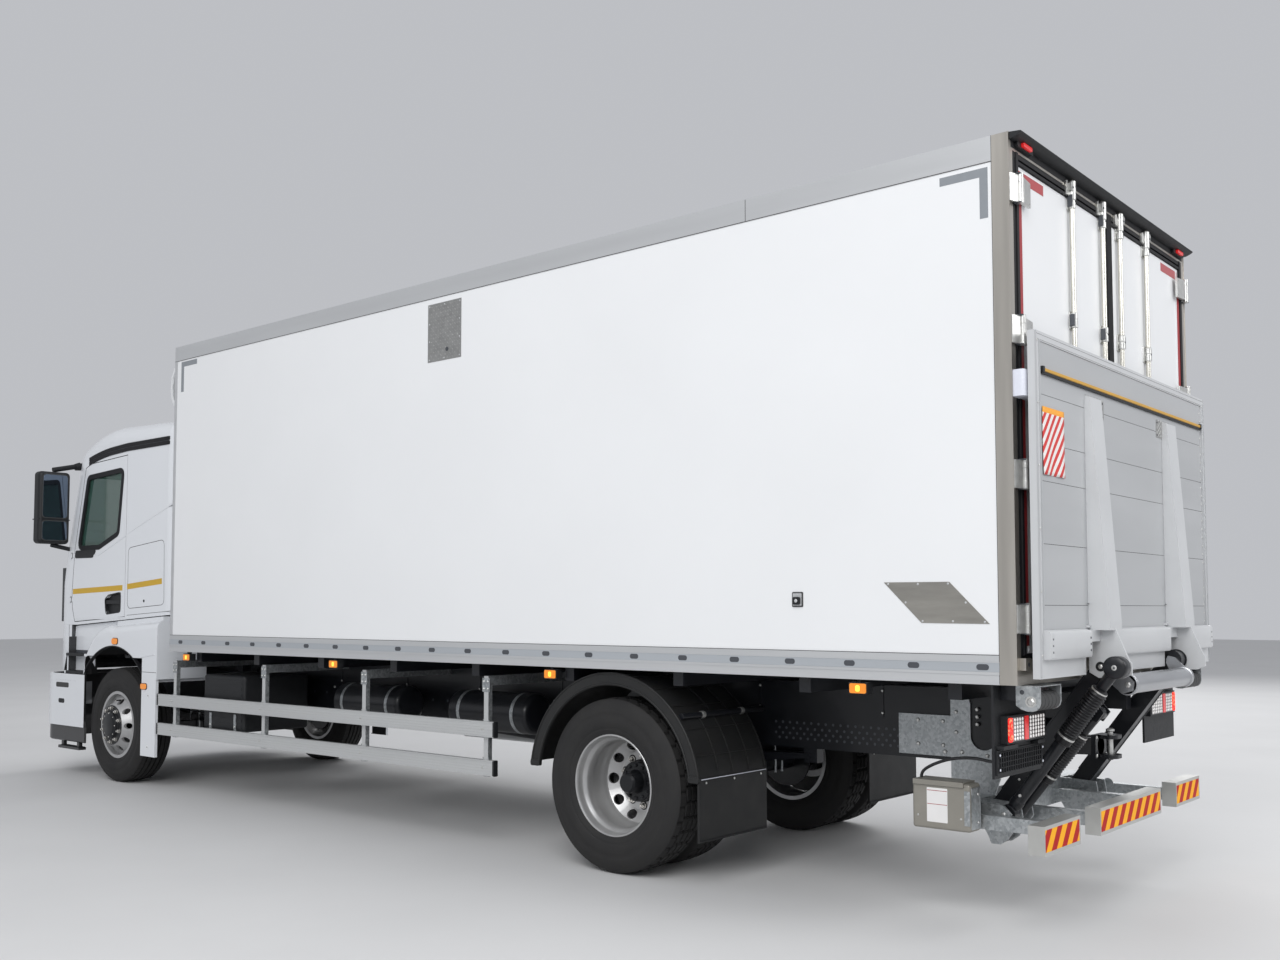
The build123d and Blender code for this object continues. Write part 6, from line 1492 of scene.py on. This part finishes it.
locker_parts = [
    (seam_black, strip(locker, 0.005, *SEAM_Y, closed=True)),
    (cab_paint, strip([(8.470, 2.235), (7.700, 2.460)], 0.014, 1.1490, 1.1525)),
    (yellow_reflex, strip([(7.845, 1.792), (8.455, 1.750)], 0.050, *REFLEX_Y)),
    (black_moulding, stud(8.150, 1.1500, 1.620, 0.013, 0.004, "Y", 20)),
    (seam_black, strip([(7.700, 1.530), (8.450, 1.492)], 0.004, *SEAM_Y)),
]
make("side_locker", "cab", pair(locker_parts), bevel=0.0006)

# Glass: green tinted laminated windscreen with a black printed border, and tinted panes in the doors.
# Two black wipers rest at the foot of the windscreen.
tint = Finish("green_tinted_glass", (0.055, 0.150, 0.110), 0.02, Alpha=0.34, Coat_Weight=1.0,
              Coat_Roughness=0.02)
tint.uneven(1.2, 0.06, 0.01)
dress(tint, "door_glass_left", "door_glass_right")
screen_glass = Finish("windscreen_glass", (0.020, 0.060, 0.050), 0.04, Coat_Weight=1.0, Coat_Roughness=0.02)
height, across = screen_glass.along("Z"), abs(screen_glass.along("Y"))
clear = height.within(2.125, 2.835) * (across < 0.945)
screen_glass.feed("Base Color", screen_glass.blend(clear, (0.008, 0.008, 0.009, 1), (0.020, 0.060, 0.050, 1)))
screen_glass.feed("Alpha", 1 - clear * 0.48)
dress(screen_glass, "windscreen")
wiper_parts = []
for y in (0.62, -0.18):
    foot = Vector((9.868, y, 2.060))
    knee = Vector((9.862, y - 0.12, 2.105))
    tip = Vector((9.800, y - 0.52, 2.260))
    wiper_parts += [
        (black_moulding, turned_between(foot - Vector((0.02, 0, 0)), foot + Vector((0.012, 0, 0)),
                                        [(0.018, 0), (0.016, 0.03)], 18)),
        (black_moulding, turned_between(foot, knee, [(0.010, 0), (0.008, (knee - foot).length)], 8)),
        (black_moulding, turned_between(knee, tip, [(0.008, 0), (0.005, (tip - knee).length)], 8)),
        (rubber, turned_between((9.848, y + 0.02, 2.118), (9.768, y - 0.62, 2.330),
                                [(0.006, 0), (0.0065, 0.35), (0.006, 0.68)], 8)),
    ]
make("wipers", "cab", wiper_parts)

# Mirrors: black moulded housings on two arms, each with a large flat glass above a small wide-angle one. Each
# silvered glass sits in a dark rim.
mirror_glass = Finish("silvered_mirror", (0.16, 0.20, 0.26), 0.04, 1.0)
mirror_glass.uneven(3, 0.02, 0.01)
dress(black_moulding, "mirrors")
mirror_parts = [
    (mirror_glass, plate(1.205, 1.435, 2.420, 2.828, 0.028, "X", 9.5405, 9.5460)),
    (mirror_glass, plate(1.205, 1.435, 2.205, 2.385, 0.028, "X", 9.5405, 9.5460)),
    (seam_black, plate(1.198, 1.442, 2.412, 2.836, 0.032, "X", 9.5425, 9.5465)),
    (seam_black, plate(1.198, 1.442, 2.197, 2.393, 0.032, "X", 9.5425, 9.5465)),
    (black_moulding, bar(9.552, 9.6815, 1.1695, 1.4698, 2.398, 2.407)),
    (black_moulding, turned_between((9.605, 1.060, 2.936), (9.605, 1.110, 2.924), [(0.040, 0), (0.032, 0.05)],
                                    24)),
]
make("mirror_glasses", "cab", pair(mirror_parts), bevel=0.001)

# Fenders: white plastic over the front wheels with a black inner liner, step wells with black treads ahead of
# the wheel and a strip of painted shade in each step slot, a soft crease and amber side lamps. The panel
# behind the wheel has two pressed dimples, each drawn as a white disc with a dark dot of painted shade for
# its hollow.
UNDERSIDE = (0.022, 0.022, 0.024)
fender_paint = Paint("white_fender_paint", CAB_WHITE, 0.24, Coat_Weight=0.6)
fender_paint.lined((FRONT_X + REAR, 0, WHEEL_Z), UNDERSIDE)
dress(fender_paint, "front_fenders")
FENDER_SIDE = 1.248
skirt_top = [(x, 1.394 + (9.400 - x) / (9.400 - 7.665) * 0.100) for x in (9.490, 9.300, 8.900, 8.500)]
skirt = [(9.500, 1.285)] + skirt_top + [(8.300, 1.440), (8.300, 1.400), (8.700, 1.340), (8.960, 1.220)]
fender_parts = [
    (fender_paint, prism(skirt, "Y", 1.098, 1.1152)),
    (fender_paint, prism([(7.730, 1.440), (8.520, 1.385), (8.520, 1.4385), (7.730, 1.4840)], "Y", 1.100,
                         1.196)),
    # A dark strip of painted shade on the white well wall, where the step slot lies in shade.
    (dark_fittings_and_shade, bar(9.110, 9.474, 1.1145, 1.1165, 1.134, 1.160)),
    (fender_paint, prism(softened([(9.498, 0.966), (9.590, 0.966), (9.590, 1.212), (9.498, 1.212)], 0.010),
                         "Y", 1.100, 1.1240)),
    (rubber, arch(FRONT_X, WHEEL_Z, 0.6985, 0.7085, 42, 138, FENDER_SIDE - 0.030, FENDER_SIDE + 0.003)),
    (black_moulding, bar(8.060, 8.940, 0.600, 0.606, 0.940, 1.150)),
    (fender_paint, strip([(8.030, 1.125), (7.764, 1.160)], 0.012, FENDER_SIDE - 0.001, FENDER_SIDE + 0.003)),
    (seam_black, bar(7.735, 7.985, FENDER_SIDE - 0.001, FENDER_SIDE + 0.0006, 1.000, 1.004)),
    (black_moulding, plate(8.408, 8.512, 1.2300, 1.2900, 0.022, "Y", FENDER_SIDE - 0.002,
                           FENDER_SIDE + 0.004)),
    (amber_lens, plate(8.413, 8.507, 1.2340, 1.2860, 0.020, "Y", FENDER_SIDE + 0.003, FENDER_SIDE + 0.012)),
    (black_moulding, plate(7.880, 7.982, 0.8500, 0.9060, 0.022, "Y", FENDER_SIDE - 0.002,
                           FENDER_SIDE + 0.004)),
    (amber_lens, plate(7.885, 7.977, 0.8540, 0.9020, 0.020, "Y", FENDER_SIDE + 0.003, FENDER_SIDE + 0.012)),
    (rubber, bar(7.740, 7.980, FENDER_SIDE - 0.022, FENDER_SIDE - 0.003, 0.2800, 0.2860)),
]
# Each dimple is drawn flat: a white disc, and a dark dot of painted shade for its hollow.
for z in (0.800, 0.360):
    fender_parts += [(unit_white, prism(circle(7.860, z, 0.017, 28), "Y", FENDER_SIDE - 0.001,
                                        FENDER_SIDE + 0.0012)),
                     (dark_fittings_and_shade, stud(7.860, FENDER_SIDE + 0.001, z, 0.006, 0.002, "Y", 16))]
for z in (0.967, 1.132):
    for i in range(11):
        x = 9.145 + 0.030 * i
        fender_parts.append((black_moulding, bar(x, x + 0.012, 1.122, 1.208, z - 0.001, z + 0.003)))
    fender_parts.append((black_moulding, bar(9.110, 9.470, 1.2085, 1.2150, z - 0.024, z + 0.002)))
make("fender_details", "chassis", pair(fender_parts), bevel=0.0008)

# Bumper: white steel with a black lip along the bottom, black entry step, clear headlamps and a blank plate.
# Above it the grille panel's five slots are backed by black mesh, each with a dark bar across.
bumper_paint = Paint("white_bumper_paint", CAB_WHITE, 0.22, Coat_Weight=0.6)
bumper_paint.lined((9.000 + REAR, 0, 0.600), UNDERSIDE, lambda own: own.along("Z") < 0.4555)
dress(bumper_paint, "bumper")
head_lens = Finish("clear_headlamp", (0.55, 0.57, 0.60), 0.08, 0.4, Coat_Weight=1.0)
flutes = head_lens.node("ShaderNodeTexWave", {"bands_direction": "Y"},
                        {"Vector": head_lens.place(), "Scale": 30.0})
head_lens.bump(flutes, 0.002, 0.5)
dress(head_lens, "headlamps")
BUMPER_NOSE = 9.9402
bumper_parts = [
    (white_label, plate(-0.260, 0.260, 0.560, 0.670, 0.006, "X", BUMPER_NOSE - 0.0060, BUMPER_NOSE - 0.0004)),
    (black_moulding, plate(-0.270, 0.270, 0.550, 0.680, 0.008, "X", BUMPER_NOSE - 0.0080,
                           BUMPER_NOSE - 0.0012)),
    (black_moulding, bar(BUMPER_NOSE - 0.0080, BUMPER_NOSE - 0.0012, -0.700, 0.700, 0.730, 0.860)),
]
for i in range(5):
    z = 0.742 + 0.024 * i
    bumper_parts.append((rubber, bar(BUMPER_NOSE - 0.0020, BUMPER_NOSE - 0.0002, -0.690, 0.690, z,
                                     z + 0.010)))
RECESS_Y = (1.2455, 1.2488)
bumper_side = [
    (seam_black, plate(9.330, 9.585, 0.812, 0.858, 0.014, "Y", *RECESS_Y)),
    (black_moulding, plate(9.410, 9.530, 0.664, 0.706, 0.018, "Y", *RECESS_Y)),
    (lower_paint, bar(9.200, 9.600, 1.2460, 1.2494, 0.874, 0.884)),
    (black_moulding, bar(9.130, 9.540, 1.1655, 1.2350, 0.2615, 0.2650)),
]
for i in range(12):
    x = 9.145 + 0.032 * i
    bumper_side.append((black_moulding, bar(x, x + 0.014, 1.170, 1.230, 0.2640, 0.2690)))
make("bumper_details", "chassis", bumper_parts + pair(bumper_side), bevel=0.0008)
grille_parts = []
for i in range(5):
    z = 1.022 + 0.074 * i
    grille_parts.append((black_moulding, bar(9.8420, 9.8550, -0.782, 0.782, z - 0.004, z + 0.038)))
    grille_parts.append((rubber, bar(9.8800, 9.8980, -0.780, 0.780, z + 0.013, z + 0.021)))
make("grille_mesh", "cab", grille_parts, bevel=0.0008)

# Inside the cab: two sprung seats with crowned blue cloth cushions on black frames, a dark grey dashboard
# with a hooded instrument panel, and a padded bunk wall behind.
dash_grey = Finish("dark_grey_dashboard", (0.055, 0.057, 0.060), 0.6)
dash_grey.uneven(10, 0.1, 0.06).grain(600, 0.0006, 0.5)
dress(dash_grey, "dashboard")
blue_cloth = Finish("blue_seat_cloth", (0.035, 0.095, 0.33), 0.9)
blue_cloth.uneven(30, 0.12, 0.05).grain(700, 0.001, 0.6)


def pillow(middle, size, lean=0.0, sharp=0.42, steps=(36, 18)):
    """A soft rounded cushion about a middle, leaning back by an angle."""
    def power(value):
        return (abs(value) ** sharp) * (1 if value >= 0 else -1)

    points = []
    for j in range(steps[1] + 1):
        rise = pi * j / steps[1] - pi / 2
        for i in range(steps[0]):
            turn = 2 * pi * i / steps[0]
            x = size[0] / 2 * power(cos(rise)) * power(cos(turn))
            y = size[1] / 2 * power(cos(rise)) * power(sin(turn))
            z = size[2] / 2 * power(sin(rise))
            x, z = x * cos(lean) - z * sin(lean), x * sin(lean) + z * cos(lean)
            points.append((middle[0] + x, middle[1] + y, middle[2] + z))
    return points, hoops(steps[1] + 1, steps[0])


SEAT_Y = 0.560
frames = []
for y in (SEAT_Y, -SEAT_Y):
    frames += [(black_moulding, bar(8.640, 8.990, y - 0.180, y + 0.180, 1.470, 1.745)),
               (black_moulding, bar(8.570, 9.050, y - 0.235, y + 0.235, 1.740, 1.765)),
               (black_moulding, prism([(8.480, 1.760), (8.520, 1.760), (8.475, 2.520), (8.460, 2.520)], "Y",
                                      y - 0.2, y + 0.2))]
make("seat_frames", "cab", frames, bevel=0.006, stands_for=["seats"])
for side, y in (("left", SEAT_Y), ("right", -SEAT_Y)):
    cushions = [
        (blue_cloth, pillow((8.820, y, 1.820), (0.490, 0.480, 0.145))),
        (blue_cloth, pillow((8.535, y, 2.080), (0.130, 0.460, 0.540), radians(4.5))),
        (blue_cloth, pillow((8.500, y, 2.455), (0.095, 0.280, 0.190), radians(4.5), 0.55)),
    ]
    cushion = make("seat_cushions_" + side, "cab", cushions)
lining = [
    (shade_and_trim_grey, bar(7.724, 7.740, -1.060, 1.060, 1.560, 3.060)),
    (dash_grey, bar(7.740, 8.340, -1.040, 1.040, 1.900, 2.060)),
    (black_moulding, prism([(9.330, 1.950), (9.560, 1.950), (9.540, 2.035), (9.400, 2.060)], "Y", 0.340,
                           0.780)),
]
make("cab_lining", "cab", lining, bevel=0.012)
